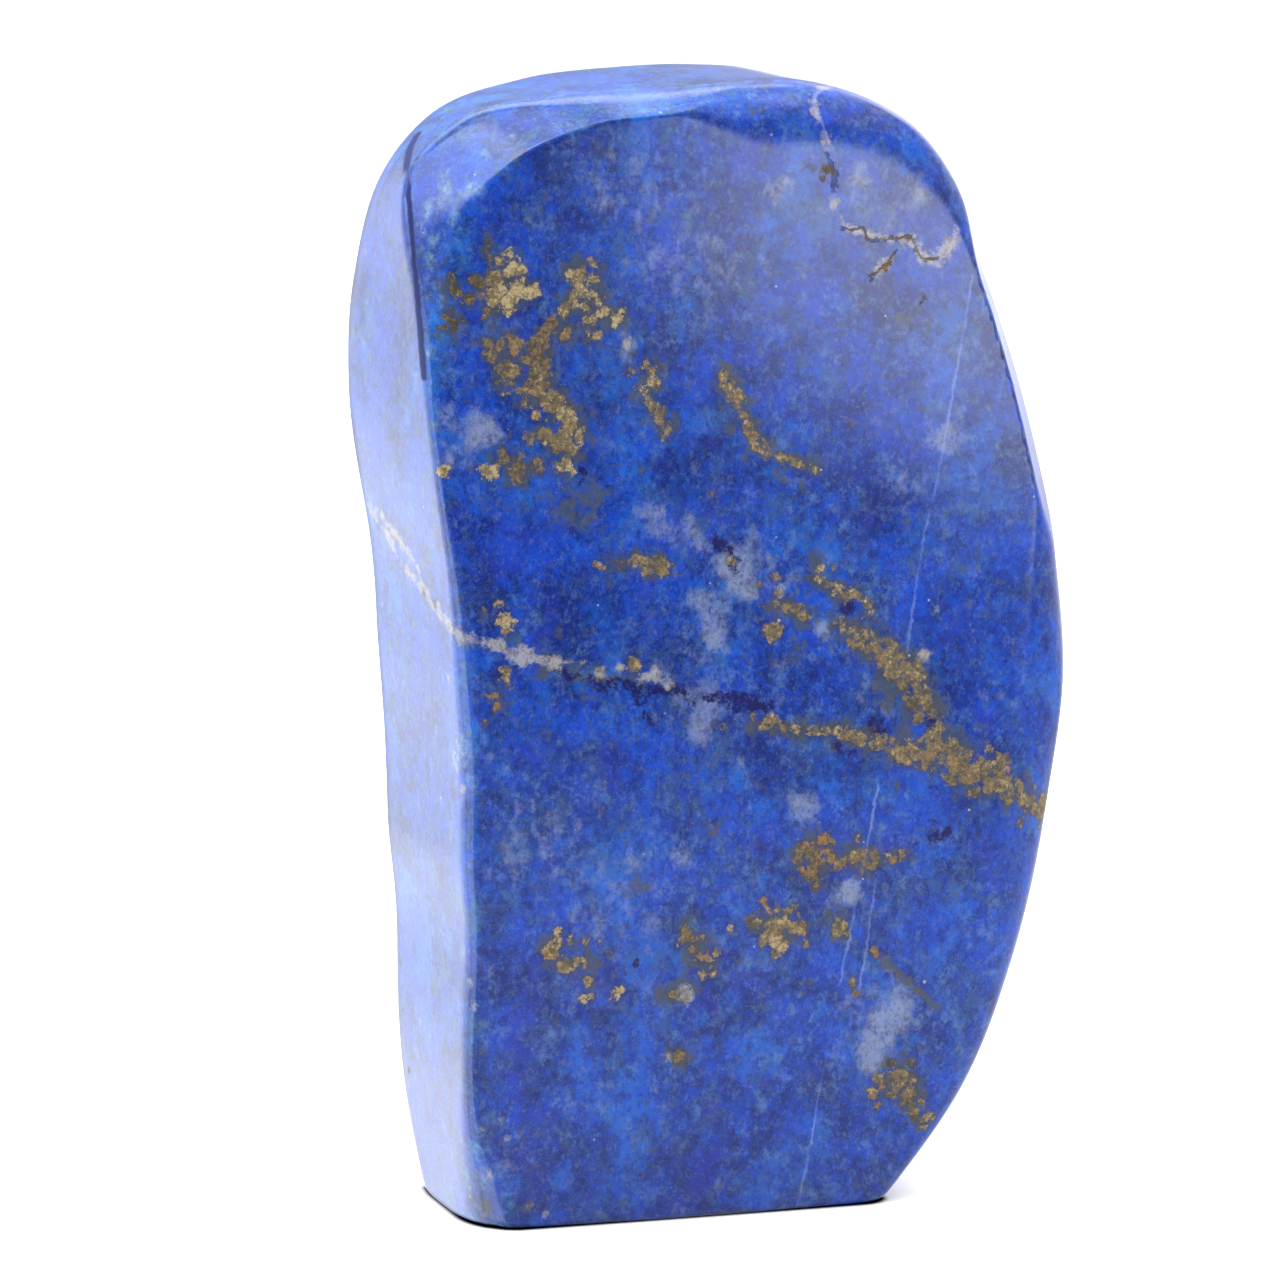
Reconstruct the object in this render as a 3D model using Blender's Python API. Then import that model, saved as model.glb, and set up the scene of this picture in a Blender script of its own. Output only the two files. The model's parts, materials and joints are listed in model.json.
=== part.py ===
"""Polished free-form of lapis lazuli, about 118 mm tall, standing on its sawn foot.

One solid stone. The lapidary sawed a flat foot and a broad front, and ground a narrow flat left side, a
domed back and a rounded right side that overhangs the foot. The edges are broken by hand: a wide bevel along
the top left, a slim band down the left edge and a thin facet down the upper right. The whole was then
polished, so each ground face is slightly crowned and runs into its neighbours through a small round.

+X is the stone's right, -Y its front, +Z up. The origin is on the foot, under the middle of the stone.
"""

import bmesh
import bpy
import numpy as np

MM = 0.001

# The rough block that the stone is cut from: half its width, depth and height in mm, and how many cells it
# is scored into. Its two lower corners taper in, each to a share of its width, from a height in mm down.
BLOCK_HALF = (34.0, 15.5, 60.0)
BLOCK_CELLS = (20, 12, 34)
LEFT_TAPER = (0.88, 30.0)
RIGHT_TAPER = (0.45, 52.0)
CROWDING = 0.6  # how much closer the scoring lies near the block's edges, 0 to 1

# The stone's middle, from which every distance below is told.
MIDDLE = np.array([0.0, 0.0, 60.0])

# The edge line round the stone as seen from the front, clockwise from the left end of the foot. Each row:
# x and height of the line, how far the side leans towards the front (degrees), the round where the side
# meets the front, the round where it meets the back, and the cut that breaks the front edge, as its width
# on the front and on the side. A smooth curve runs through the rows. All in mm.
NO_CUT = 0.1
EDGE_LINE = [
    # left end of the foot, and the flat left side
    (-29.5, -1.0, -4, 2.0, 5, NO_CUT, NO_CUT),
    (-30.2, 3.2, -2, 2.0, 5, NO_CUT, NO_CUT),
    (-30.8, 9.0, 0, 2.0, 6, NO_CUT, NO_CUT),
    (-31.6, 27.0, 2, 2.5, 7, NO_CUT, NO_CUT),
    (-32.4, 40.0, 3, 2.5, 7, NO_CUT, NO_CUT),
    (-33.4, 58.0, 4, 2.2, 7, NO_CUT, NO_CUT),
    (-35.2, 73.0, 6, 1.2, 7, NO_CUT, NO_CUT),
    (-37.5, 87.0, 11, 0.8, 6, NO_CUT, NO_CUT),
    (-37.6, 97.5, 12, 0.8, 6, NO_CUT, NO_CUT),
    # the rounded top left corner, with the bevel
    (-35.6, 107.7, 0, 0.8, 6, 6.0, 5.0),
    (-30.0, 114.0, 3, 0.8, 6, 5.0, 6.0),
    # the top, which leans a little to the front
    (-19.0, 117.2, 6, 0.8, 6, 2.2, 5.0),
    (-9.0, 118.0, 6, 0.8, 6, 1.6, 4.0),
    (0.0, 118.0, 4, 1.2, 6, 1.0, 3.0),
    (7.0, 117.6, 2, 2.2, 6, 0.5, 1.5),
    # the top right shoulder
    (15.0, 114.0, -2, 5.0, 8, NO_CUT, NO_CUT),
    (19.0, 111.8, -2, 5.0, 9, 0.8, 2.0),
    (22.4, 107.0, -1, 4.5, 9, 1.6, 4.0),
    # the thin facet down the upper right
    (25.6, 101.0, 0, 4.0, 10, 2.4, 6.0),
    (28.2, 94.5, 0, 4.0, 10, 3.0, 7.5),
    (31.0, 87.5, 0, 4.0, 10, 3.2, 8.0),
    (33.2, 79.0, 0, 5.0, 10, 2.6, 6.5),
    (34.5, 70.0, 0, 7.0, 10, 1.4, 3.5),
    # the bellied right side, and its overhang down to the foot
    (36.0, 55.0, 0, 9.0, 10, NO_CUT, NO_CUT),
    (33.8, 38.5, 0, 9.0, 10, NO_CUT, NO_CUT),
    (30.0, 23.0, 0, 9.0, 10, NO_CUT, NO_CUT),
    (23.6, 9.8, 0, 6.0, 10, NO_CUT, NO_CUT),
    (18.0, 3.2, 0, 4.0, 10, NO_CUT, NO_CUT),
    # where the line would have run on below the foot
    (0.0, -13.0, 0, 3.0, 10, NO_CUT, NO_CUT),
    (-24.0, -16.0, 0, 2.5, 6, NO_CUT, NO_CUT),
]

# The ground faces: turned from the front and tilted up (degrees), distance from the middle, and the radius
# of the crown across the face and up it. All in mm.
FRONT = (-1.5, 0.0, 18.5, 500.0, 700.0)
BACK = (180.0, 3.0, 19.0, 75.0, 260.0)
LEFT_BAND = (-30.0, 4.5, 34.3, 400.0, 400.0)
LEFT_BAND_ROUND = 1.0
CUT_ROUND = 0.8
FOOT_ROUND = 0.8

BEYOND = 130.0  # further from the middle than any of the stone, in mm
HALVINGS = 40  # how often the search for the surface halves its stretch
LAPIS_BLUE = (0.022, 0.062, 0.42, 1.0)


def run_together(a, b, width):
    """The larger of two distances, with the corner between them rounded over the width."""
    near = np.maximum(width - np.abs(a - b), 0.0)
    return np.maximum(a, b) + near * near / (4.0 * width)


def ground_face(points, turn, tilt, reach, across, up):
    """Height of the points over a crowned ground face."""
    t, e = np.radians(turn), np.radians(tilt)
    out = np.array([np.sin(t) * np.cos(e), -np.cos(t) * np.cos(e), np.sin(e)])
    side = np.array([np.cos(t), np.sin(t), 0.0])
    top = np.cross(side, out)
    q = points - MIDDLE
    return q @ out - reach + (q @ side) ** 2 / (2 * across) + (q @ top) ** 2 / (2 * up)


def read_edge_line(angle):
    """The edge line's radius and other columns at angles round the middle, along a smooth closed curve."""
    rows = np.array(EDGE_LINE)
    x, z = rows[:, 0], rows[:, 1] - MIDDLE[2]
    at = np.arctan2(z, x) % (2 * np.pi)
    order = np.argsort(at)
    at, values = at[order], np.column_stack([np.hypot(x, z), rows[:, 2:]])[order]
    # two more rows at each end, so that the curve closes
    at = np.concatenate([at[-2:] - 2 * np.pi, at, at[:2] + 2 * np.pi])
    values = np.concatenate([values[-2:], values, values[:2]])
    slope = np.gradient(values, at, axis=0)
    row = np.clip(np.searchsorted(at, angle, side="right") - 1, 0, len(at) - 2)
    step = at[row + 1] - at[row]
    t = (angle - at[row]) / step
    near, far, step, t = values[row], values[row + 1], step[:, None], t[:, None]
    found = (
        (1 + 2 * t) * (1 - t) ** 2 * near
        + t * (1 - t) ** 2 * step * slope[row]
        + t**2 * (3 - 2 * t) * far
        - t**2 * (1 - t) * step * slope[row + 1]
    )
    return found.T


def outside_ground_faces(points):
    """How far points are outside the ground faces, under 0 inside them all. The sawn foot isn't one."""
    x, y, z = (points - MIDDLE).T
    line = read_edge_line(np.arctan2(z, x) % (2 * np.pi))
    radius, lean, round_front, round_back, on_front, on_side = line
    on_front = np.maximum(on_front, NO_CUT)
    on_side = np.maximum(on_side, NO_CUT)
    lean = np.radians(lean)
    front = ground_face(points, *FRONT)
    side = (np.hypot(x, z) - radius) * np.cos(lean) - y * np.sin(lean)
    cut_depth = on_front * on_side / np.hypot(on_front, on_side)
    cut = (side / on_front + front / on_side + 1) * cut_depth
    stone = run_together(front, ground_face(points, *LEFT_BAND), LEFT_BAND_ROUND)
    stone = run_together(stone, side, round_front)
    stone = run_together(stone, ground_face(points, *BACK), round_back)
    return run_together(stone, cut, CUT_ROUND)


def outside(points):
    """How far the points are outside the stone, under 0 inside it."""
    return run_together(outside_ground_faces(points), -points[:, 2], FOOT_ROUND)


def way_out(start, directions, outside_of):
    """How far along each direction the surface is from the start."""
    inner = np.zeros(len(directions))
    outer = np.full(len(directions), BEYOND)
    for _ in range(HALVINGS):
        halfway = (inner + outer) / 2
        inside = outside_of(start + directions * halfway[:, None]) < 0
        inner = np.where(inside, halfway, inner)
        outer = np.where(inside, outer, halfway)
    return inner


def cut_back(points):
    """Moves each point along its line from the middle onto the stone's surface."""
    away = points - MIDDLE
    away /= np.linalg.norm(away, axis=1, keepdims=True)
    return MIDDLE + away * way_out(MIDDLE, away, outside)[:, None]


def spread_over_foot(points):
    """Spreads the points of the block's underside over the flat of the foot, to where its round begins."""
    ends = np.where(points[:, 0] < 0, LEFT_TAPER[0], RIGHT_TAPER[0]) * BLOCK_HALF[0]
    # the share is 1 at the rim of the underside
    share = np.maximum(np.abs(points[:, 0]) / ends, np.abs(points[:, 1]) / BLOCK_HALF[1])
    away = np.column_stack([points[:, :2], np.zeros(len(points))])
    length = np.linalg.norm(away, axis=1, keepdims=True)
    away = np.divide(away, length, out=np.zeros_like(away), where=length > 0)
    rim = way_out(np.zeros(3), away, lambda p: outside_ground_faces(p) + FOOT_ROUND)
    return away * (rim * share)[:, None]


def scoring(half, cells):
    """Where one direction of the block is scored: closer together towards its edges."""
    t = np.linspace(-1, 1, cells + 1)[1:-1]
    return half * ((1 - CROWDING) * t + CROWDING * np.sin(t * np.pi / 2))


def scored_block():
    """A block with its faces divided into cells, standing on the ground plane."""
    bm = bmesh.new()
    bmesh.ops.create_cube(bm, size=2.0)
    bmesh.ops.scale(bm, vec=BLOCK_HALF, verts=bm.verts)
    for axis in range(3):
        direction = [0.0, 0.0, 0.0]
        direction[axis] = 1.0
        for place in scoring(BLOCK_HALF[axis], BLOCK_CELLS[axis]):
            at = [0.0, 0.0, 0.0]
            at[axis] = place
            bmesh.ops.bisect_plane(
                bm, geom=bm.verts[:] + bm.edges[:] + bm.faces[:], dist=1e-6, plane_co=at, plane_no=direction
            )
    bmesh.ops.translate(bm, vec=MIDDLE, verts=bm.verts)
    return bm


def taper(points):
    """Brings the block's two lower corners in, towards the ends of the foot."""
    for side, (share, height) in ((-1, LEFT_TAPER), (1, RIGHT_TAPER)):
        corner = points[:, 0] * side > 0
        points[corner, 0] *= np.interp(points[corner, 2], [0, height], [share, 1])


def polished_lapis():
    """The stone's material: deep ultramarine with a wet polish."""
    material = bpy.data.materials.new("polished_lapis")
    material.use_nodes = True
    shader = material.node_tree.nodes["Principled BSDF"]
    shader.inputs["Base Color"].default_value = LAPIS_BLUE
    shader.inputs["Roughness"].default_value = 0.22
    shader.inputs["Metallic"].default_value = 0.0
    shader.inputs["IOR"].default_value = 1.5
    material.diffuse_color = LAPIS_BLUE
    return material


def main():
    for obj in list(bpy.data.objects):
        bpy.data.objects.remove(obj, do_unlink=True)
    collection = bpy.data.collections.new("lapis_lazuli")
    bpy.context.scene.collection.children.link(collection)

    bm = scored_block()
    bm.verts.ensure_lookup_table()
    points = np.array([v.co[:] for v in bm.verts], dtype=float)
    taper(points)
    underneath = points[:, 2] < 0.001
    points[underneath] = spread_over_foot(points[underneath])
    points[~underneath] = cut_back(points[~underneath])
    low, high = points.min(axis=0), points.max(axis=0)
    points -= [(low[0] + high[0]) / 2, (low[1] + high[1]) / 2, 0.0]
    for vert, point in zip(bm.verts, points):
        vert.co = point * MM
    bmesh.ops.triangulate(bm, faces=bm.faces[:], quad_method="SHORT_EDGE")
    bmesh.ops.recalc_face_normals(bm, faces=bm.faces[:])

    mesh = bpy.data.meshes.new("lapis_stone")
    bm.to_mesh(mesh)
    bm.free()
    mesh.shade_smooth()
    stone = bpy.data.objects.new("lapis_stone", mesh)
    stone.data.materials.append(polished_lapis())
    collection.objects.link(stone)


main()
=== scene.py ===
# %% [markdown]
# # A polished lapis lazuli free-form
#
# The stone stands on a small sawn foot and is polished all round. Its shape is simple: a broad front, a
# narrow left side, a rounded right side and a few bevels. What makes it lapis is in the material: cloudy
# ultramarine, gold grains of pyrite, a vein that runs right through it, and fine healed cracks.
#
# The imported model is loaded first. It is the frame that everything here is fitted to.

import json
import math

import bpy
import numpy as np
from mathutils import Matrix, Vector

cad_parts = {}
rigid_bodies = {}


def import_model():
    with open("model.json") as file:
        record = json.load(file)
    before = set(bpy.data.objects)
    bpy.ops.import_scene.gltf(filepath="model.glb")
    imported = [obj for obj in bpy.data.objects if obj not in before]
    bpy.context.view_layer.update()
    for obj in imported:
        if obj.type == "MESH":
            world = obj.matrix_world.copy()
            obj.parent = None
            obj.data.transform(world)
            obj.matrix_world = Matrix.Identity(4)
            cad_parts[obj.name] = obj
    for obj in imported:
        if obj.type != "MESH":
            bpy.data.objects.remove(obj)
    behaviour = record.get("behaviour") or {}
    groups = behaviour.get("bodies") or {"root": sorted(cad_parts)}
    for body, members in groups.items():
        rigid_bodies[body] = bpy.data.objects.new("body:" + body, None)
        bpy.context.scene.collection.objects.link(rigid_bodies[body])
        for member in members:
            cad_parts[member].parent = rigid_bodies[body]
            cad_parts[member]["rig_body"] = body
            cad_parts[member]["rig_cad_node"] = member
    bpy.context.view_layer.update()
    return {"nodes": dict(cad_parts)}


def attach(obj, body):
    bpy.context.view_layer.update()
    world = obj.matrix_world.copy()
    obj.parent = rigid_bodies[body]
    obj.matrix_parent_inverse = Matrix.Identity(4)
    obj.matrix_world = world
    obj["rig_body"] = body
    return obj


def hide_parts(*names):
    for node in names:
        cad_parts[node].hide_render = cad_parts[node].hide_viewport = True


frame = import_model()
MM = 0.001
MIDDLE_MM = np.array([1.15, -0.3, 60.0])


# %% [markdown]
# ## The camera
#
# The photograph was taken from the left and a little above, with a long lens. A camera object is added at
# its place and turned to look past the stone's middle, so that the stone stands right of the picture's
# centre. No lens shift is needed for this.

# %% Camera
CAMERA_TURN = math.radians(-20)
CAMERA_RISE = math.radians(8)
CAMERA_DISTANCE = 0.620
LENS_MM = 165.5
AIM_RIGHT = -0.00697
AIM_UP = -0.00175

middle = Vector(MIDDLE_MM * MM)
towards_camera = Vector(
    (
        math.sin(CAMERA_TURN) * math.cos(CAMERA_RISE),
        -math.cos(CAMERA_TURN) * math.cos(CAMERA_RISE),
        math.sin(CAMERA_RISE),
    )
)
camera_right = towards_camera.cross(Vector((0, 0, -1))).normalized()
camera_up = camera_right.cross(-towards_camera)
aim = middle + camera_right * AIM_RIGHT + camera_up * AIM_UP
camera_place = middle + towards_camera * CAMERA_DISTANCE
look = (aim - camera_place).to_track_quat("-Z", "Y").to_euler()
bpy.ops.object.camera_add(location=camera_place, rotation=look)
camera = bpy.context.object
camera.data.lens = LENS_MM
camera.data.sensor_width = 36
camera.data.clip_end = 50
bpy.context.scene.camera = camera
print("camera at", [round(v, 3) for v in camera_place])


# %% [markdown]
# ## Floor and light
#
# A polished stone shows its surroundings. Here they are a white sweep, burnt out to pure white as in the
# photograph, with large soft lights. The lights are area lights: they show in the polish as broad pale
# patches, and their size sets how soft those patches and the shadows are.

# %% Floor and background
WHITE = (1.0, 1.0, 1.0, 1.0)
SWEEP_IN_FRONT = 0.24
bpy.ops.object.select_all(action="DESELECT")
bpy.ops.mesh.primitive_plane_add(size=8.0, location=(0, 4.0 - SWEEP_IN_FRONT, 0))
floor = bpy.context.object
floor.name = "floor"
floor_paint = bpy.data.materials.new("white_floor")
floor_paint.use_nodes = True
floor_shader = floor_paint.node_tree.nodes["Principled BSDF"]
floor_shader.inputs["Base Color"].default_value = (0.76, 0.76, 0.76, 1.0)
floor_shader.inputs["Roughness"].default_value = 0.9
floor_shader.inputs["Specular IOR Level"].default_value = 0.1
floor.data.materials.append(floor_paint)

# the polish shows the sky below instead, which has its own brightness below the floor line
floor.visible_glossy = False

# %% [markdown]
# A polished stone is half colour and half mirror: the bright left side, the haze at the upper right and the
# light ridge are all reflections of the studio. So the studio is drawn as the sky's brightness, by compass
# direction and height, for the mirror's rays alone. Plain panels that no mirror shows light the blue itself.

# %% Directions in the sky
world = bpy.data.worlds.new("studio")
world.use_nodes = True
sky = world.node_tree


def sky_math(operation, *values):
    """A Math node in the sky, on numbers or on other nodes' outputs."""
    node = sky.nodes.new("ShaderNodeMath")
    node.operation = operation
    for slot, value in enumerate(values):
        if isinstance(value, bpy.types.NodeSocket):
            sky.links.new(value, node.inputs[slot])
        else:
            node.inputs[slot].default_value = value
    return node.outputs[0]


def sky_ramp(value, start, end, at_start=0.0, at_end=1.0):
    """Eases from one number to another as the value goes from start to end."""
    ramp = sky.nodes.new("ShaderNodeMapRange")
    ramp.interpolation_type = "SMOOTHSTEP"
    for title, number in (("From Min", start), ("From Max", end), ("To Min", at_start), ("To Max", at_end)):
        ramp.inputs[title].default_value = number
    sky.links.new(value, ramp.inputs["Value"])
    return ramp.outputs["Result"]


def sky_window(value, start, full, hold, end):
    """1 between full and hold, and 0 before start and after end."""
    return sky_math("MULTIPLY", sky_ramp(value, start, full), sky_ramp(value, hold, end, 1.0, 0.0))


direction = sky.nodes.new("ShaderNodeTexCoord").outputs["Generated"]
split = sky.nodes.new("ShaderNodeSeparateXYZ")
sky.links.new(direction, split.inputs["Vector"])
to_right, to_back, to_top = split.outputs["X"], split.outputs["Y"], split.outputs["Z"]
# degrees round from the front and from the back, both towards the right, and degrees up
from_front = sky_math("DEGREES", sky_math("ARCTAN2", to_right, sky_math("MULTIPLY", to_back, -1.0)))
from_back = sky_math("DEGREES", sky_math("ARCTAN2", to_right, to_back))
rise = sky_math("DEGREES", sky_math("ARCSINE", to_top))

# %% What the polish shows
DARK_ROOM = 0.15
# a bearing and its window (degrees), the window in height, and the brightness, where the floor's white is 1
IN_THE_POLISH = [
    # the near floor
    (from_front, (-999, -998, 998, 999), (-99, -98, -15, -9), 0.65),
    # the white sweep behind, low and high
    (from_back, (-60, -30, 40, 55), (-99, -98, 20, 60), 0.40),
    (from_back, (-60, -40, 40, 55), (16, 32, 90, 99), 0.65),
    # the bright wall at the back left, which fills the stone's left side
    (from_back, (-86, -74, -45, 8), (-99, -98, 8, 35), 2.85),
    # the wall on the left, and the large softbox high on it, seen in the slim band and the bevel
    (from_front, (-101, -92, -56, -47), (-60, -30, 20, 40), 2.6),
    (from_front, (-125, -98, -62, -50), (16, 32, 90, 99), 4.0),
    # the bright ceiling, and the row of light that draws the ridge over the bevel
    (from_front, (-999, -998, 998, 999), (60, 74, 98, 99), 1.9),
    (from_back, (-80, -60, 26, 36), (36, 45, 53, 60), 2.4),
    # the wall on the right, which draws the thin bright rim
    (from_front, (28, 70, 144, 159), (-12, -5, 18, 36), 1.25),
    (from_front, (148, 163, 170, 177), (-60, -40, 0, 5), 2.2),
    (from_front, (20, 40, 120, 150), (30, 45, 98, 99), 0.9),
]
shown = sky_math("ADD", DARK_ROOM, 0.0)
for bearing, across, up, strength in IN_THE_POLISH:
    patch = sky_math("MULTIPLY", sky_window(bearing, *across), sky_window(rise, *up))
    shown = sky_math("MULTIPLY_ADD", patch, strength, shown)
# the softbox that makes the haze at the upper right leans a little
leaning = sky_math("MULTIPLY_ADD", from_front, 0.42, sky_math("ADD", rise, -7.1))
haze = sky_math("MULTIPLY", sky_ramp(leaning, -1.8, 1.6), sky_ramp(rise, 5.0, 19.0, 1.0, 0.0))
haze = sky_math("MULTIPLY", haze, sky_window(from_front, 11.5, 19.0, 30.0, 44.0))
shown = sky_math("MULTIPLY_ADD", haze, 4.5, shown)
print(len(IN_THE_POLISH) + 1, "patches of light in the polish")

# %% What lights the scene, and what the camera sees
overhead = sky_ramp(to_top, 0.30, 0.75, 0.34, 1.30)
behind_stone = sky_ramp(to_back, -0.3, 0.3, 0.0, 0.35)
on_left = sky_ramp(to_right, -0.15, -0.65, 0.0, 0.70)
lighting = sky_math("ADD", overhead, sky_math("ADD", behind_stone, on_left))
SEEN_WHITE = 1.05
ray = sky.nodes.new("ShaderNodeLightPath")


def sky_choice(ray_kind, otherwise, for_kind):
    """One brightness for a kind of ray, and another for the rest."""
    choice = sky.nodes.new("ShaderNodeMix")
    sky.links.new(ray.outputs[ray_kind], choice.inputs["Factor"])
    sky.links.new(otherwise, choice.inputs["A"])
    if isinstance(for_kind, float):
        choice.inputs["B"].default_value = for_kind
    else:
        sky.links.new(for_kind, choice.inputs["B"])
    return choice.outputs["Result"]


brightness = sky_choice("Is Camera Ray", sky_choice("Is Glossy Ray", lighting, shown), SEEN_WHITE)
background = sky.nodes["Background"]
background.inputs["Color"].default_value = WHITE
sky.links.new(brightness, background.inputs["Strength"])
bpy.context.scene.world = world
bpy.context.scene.view_settings.view_transform = "Standard"


# %% Soft lights
def soft_light(name, turn, rise, distance, width, height, power):
    """Adds an area light that faces the stone. Turn 0 is in front of it, 90 on its right."""
    t = math.radians(turn)
    e = math.radians(rise)
    out = Vector((math.sin(t) * math.cos(e), -math.cos(t) * math.cos(e), math.sin(e)))
    place = middle + out * distance
    facing = (-out).to_track_quat("-Z", "Y").to_euler()
    bpy.ops.object.light_add(type="AREA", location=place, rotation=facing)
    light = bpy.context.object
    light.name = name
    light.data.shape = "RECTANGLE"
    light.data.size = width
    light.data.size_y = height
    light.data.energy = power
    light.visible_camera = False
    light.visible_glossy = False
    print(name, "at", [round(v, 2) for v in place])
    return light


soft_light("front_panel", 27, 14, 1.1, 0.55, 0.5, 4.5)
soft_light("fill_panel", 38, 32, 0.55, 0.30, 0.30, 0.6)
soft_light("crown_panel", -35, 80, 0.9, 0.5, 0.5, 3.5)
soft_light("left_panel", -110, 60, 1.0, 0.9, 0.9, 7.0)
# these two face down and only whiten the sweep, behind the stone and on the right
for panel in (
    soft_light("sweep_panel", 180, 35, 1.15, 2.0, 1.6, 20),
    soft_light("right_sweep_panel", 106, 40, 0.48, 0.5, 0.5, 3.0),
):
    panel.rotation_euler = (0, 0, 0)

# %% [markdown]
# ## The stone's surface
#
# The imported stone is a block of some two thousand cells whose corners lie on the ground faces. Close to, a
# polished stone needs a finer skin, and edges as crisp as the lapidary left them. Subdividing alone would
# leave each cell flat, so the mesh is divided and its points are then laid on the same ground faces that the
# solid was cut by.

# %% The faces that the stone was ground to
NO_CUT = 0.1
EDGE_LINE = [
    # left end of the foot, and the flat left side
    (-29.7, -1.0, -2, 10.0, 8, NO_CUT, NO_CUT),
    (-30.1, 3.2, -1, 8.0, 6, NO_CUT, NO_CUT),
    (-31.0, 9.0, 0, 4.5, 6, NO_CUT, NO_CUT),
    (-31.6, 27.0, 2, 2.5, 7, NO_CUT, NO_CUT),
    (-32.4, 40.0, 3, 2.5, 7, NO_CUT, NO_CUT),
    (-33.4, 58.0, 4, 2.2, 7, NO_CUT, NO_CUT),
    (-35.2, 73.0, 6, 1.2, 7, NO_CUT, NO_CUT),
    (-37.5, 87.0, 11, 0.8, 6, NO_CUT, NO_CUT),
    (-37.6, 97.5, 12, 0.8, 6, NO_CUT, NO_CUT),
    # the rounded top left corner, with the bevel
    (-35.6, 107.7, 0, 0.8, 6, 6.0, 5.0),
    (-30.0, 114.0, 3, 0.8, 6, 5.0, 6.0),
    # the top, which leans a little to the front
    (-19.0, 117.2, 6, 0.8, 6, 2.2, 5.0),
    (-9.0, 118.0, 6, 2.4, 6, 1.6, 4.0),
    (0.0, 118.3, 4, 6.5, 6, 0.7, 1.9),
    (7.0, 117.8, 2, 6.8, 6, NO_CUT, NO_CUT),
    # the top right shoulder
    (15.0, 114.8, -1, 6.5, 8, NO_CUT, NO_CUT),
    (19.2, 112.0, -1, 6.5, 9, 0.6, 1.4),
    (22.3, 107.2, -1, 5.0, 9, 1.4, 2.0),
    # the thin facet down the upper right
    (24.5, 100.5, 0, 3.0, 10, 2.0, 2.9),
    (27.1, 94.0, 0, 2.0, 10, 2.4, 3.6),
    (29.5, 86.9, 0, 1.8, 10, 2.5, 3.7),
    (31.7, 78.6, 0, 2.2, 10, 2.4, 3.5),
    (33.5, 69.7, 0, 4.5, 10, 1.8, 2.6),
    # the bellied right side, and its overhang down to the foot
    (36.1, 55.0, 0, 9.0, 10, NO_CUT, NO_CUT),
    (33.9, 38.5, 0, 9.0, 10, NO_CUT, NO_CUT),
    (30.2, 23.0, 0, 9.0, 10, NO_CUT, NO_CUT),
    (23.6, 9.8, 0, 6.0, 10, NO_CUT, NO_CUT),
    (18.0, 3.2, 0, 4.0, 10, NO_CUT, NO_CUT),
    # where the line would have run on below the foot
    (0.0, -13.0, 0, 3.0, 10, NO_CUT, NO_CUT),
    (-24.0, -16.0, 0, 2.5, 6, NO_CUT, NO_CUT),
]

# turned from the front and tilted up (degrees), distance from the middle, crown radius across and up (mm)
FRONT_FACE = (-1.5, 0.0, 18.5, 500.0, 700.0)
BACK_FACE = (180.0, 3.0, 19.0, 75.0, 260.0)
LEFT_BAND = (-30.0, 4.5, 34.3, 400.0, 400.0)
LEFT_BAND_ROUND = 1.0
# the bevel meets the front in a crisp edge and the top in a softer ridge; the right facet is soft too
EDGE_ROUND = 0.4
RIDGE_ROUND = 0.8
FACET_ROUND = 0.25
FOOT_ROUND = 1.0
# the faces are drawn round this point, and the stone was then set with its box's middle over the origin
DRAWN_MIDDLE = np.array([0.0, 0.0, 60.0])
SET_OVER = np.array([-0.873, 0.334, 0.0])


def run_together(a, b, width):
    """The larger of two distances, with the corner between them rounded over the width."""
    near = np.maximum(width - np.abs(a - b), 0.0)
    return np.maximum(a, b) + near * near / (4.0 * width)


def ground_face(points, turn, tilt, reach, across, up):
    """Height of the points over a crowned ground face."""
    t, e = np.radians(turn), np.radians(tilt)
    out = np.array([np.sin(t) * np.cos(e), -np.cos(t) * np.cos(e), np.sin(e)])
    side = np.array([np.cos(t), np.sin(t), 0.0])
    top = np.cross(side, out)
    q = points - DRAWN_MIDDLE
    return q @ out - reach + (q @ side) ** 2 / (2 * across) + (q @ top) ** 2 / (2 * up)


def read_edge_line(angle):
    """The edge line's radius and other columns at angles round the middle, along a smooth closed curve."""
    rows = np.array(EDGE_LINE)
    x, z = rows[:, 0], rows[:, 1] - DRAWN_MIDDLE[2]
    at = np.arctan2(z, x) % (2 * np.pi)
    order = np.argsort(at)
    at, values = at[order], np.column_stack([np.hypot(x, z), rows[:, 2:]])[order]
    # two more rows at each end, so that the curve closes
    at = np.concatenate([at[-2:] - 2 * np.pi, at, at[:2] + 2 * np.pi])
    values = np.concatenate([values[-2:], values, values[:2]])
    slope = np.gradient(values, at, axis=0)
    row = np.clip(np.searchsorted(at, angle, side="right") - 1, 0, len(at) - 2)
    step = at[row + 1] - at[row]
    t = (angle - at[row]) / step
    near, far, step, t = values[row], values[row + 1], step[:, None], t[:, None]
    found = (
        (1 + 2 * t) * (1 - t) ** 2 * near
        + t * (1 - t) ** 2 * step * slope[row]
        + t**2 * (3 - 2 * t) * far
        - t**2 * (1 - t) * step * slope[row + 1]
    )
    return found.T


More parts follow.
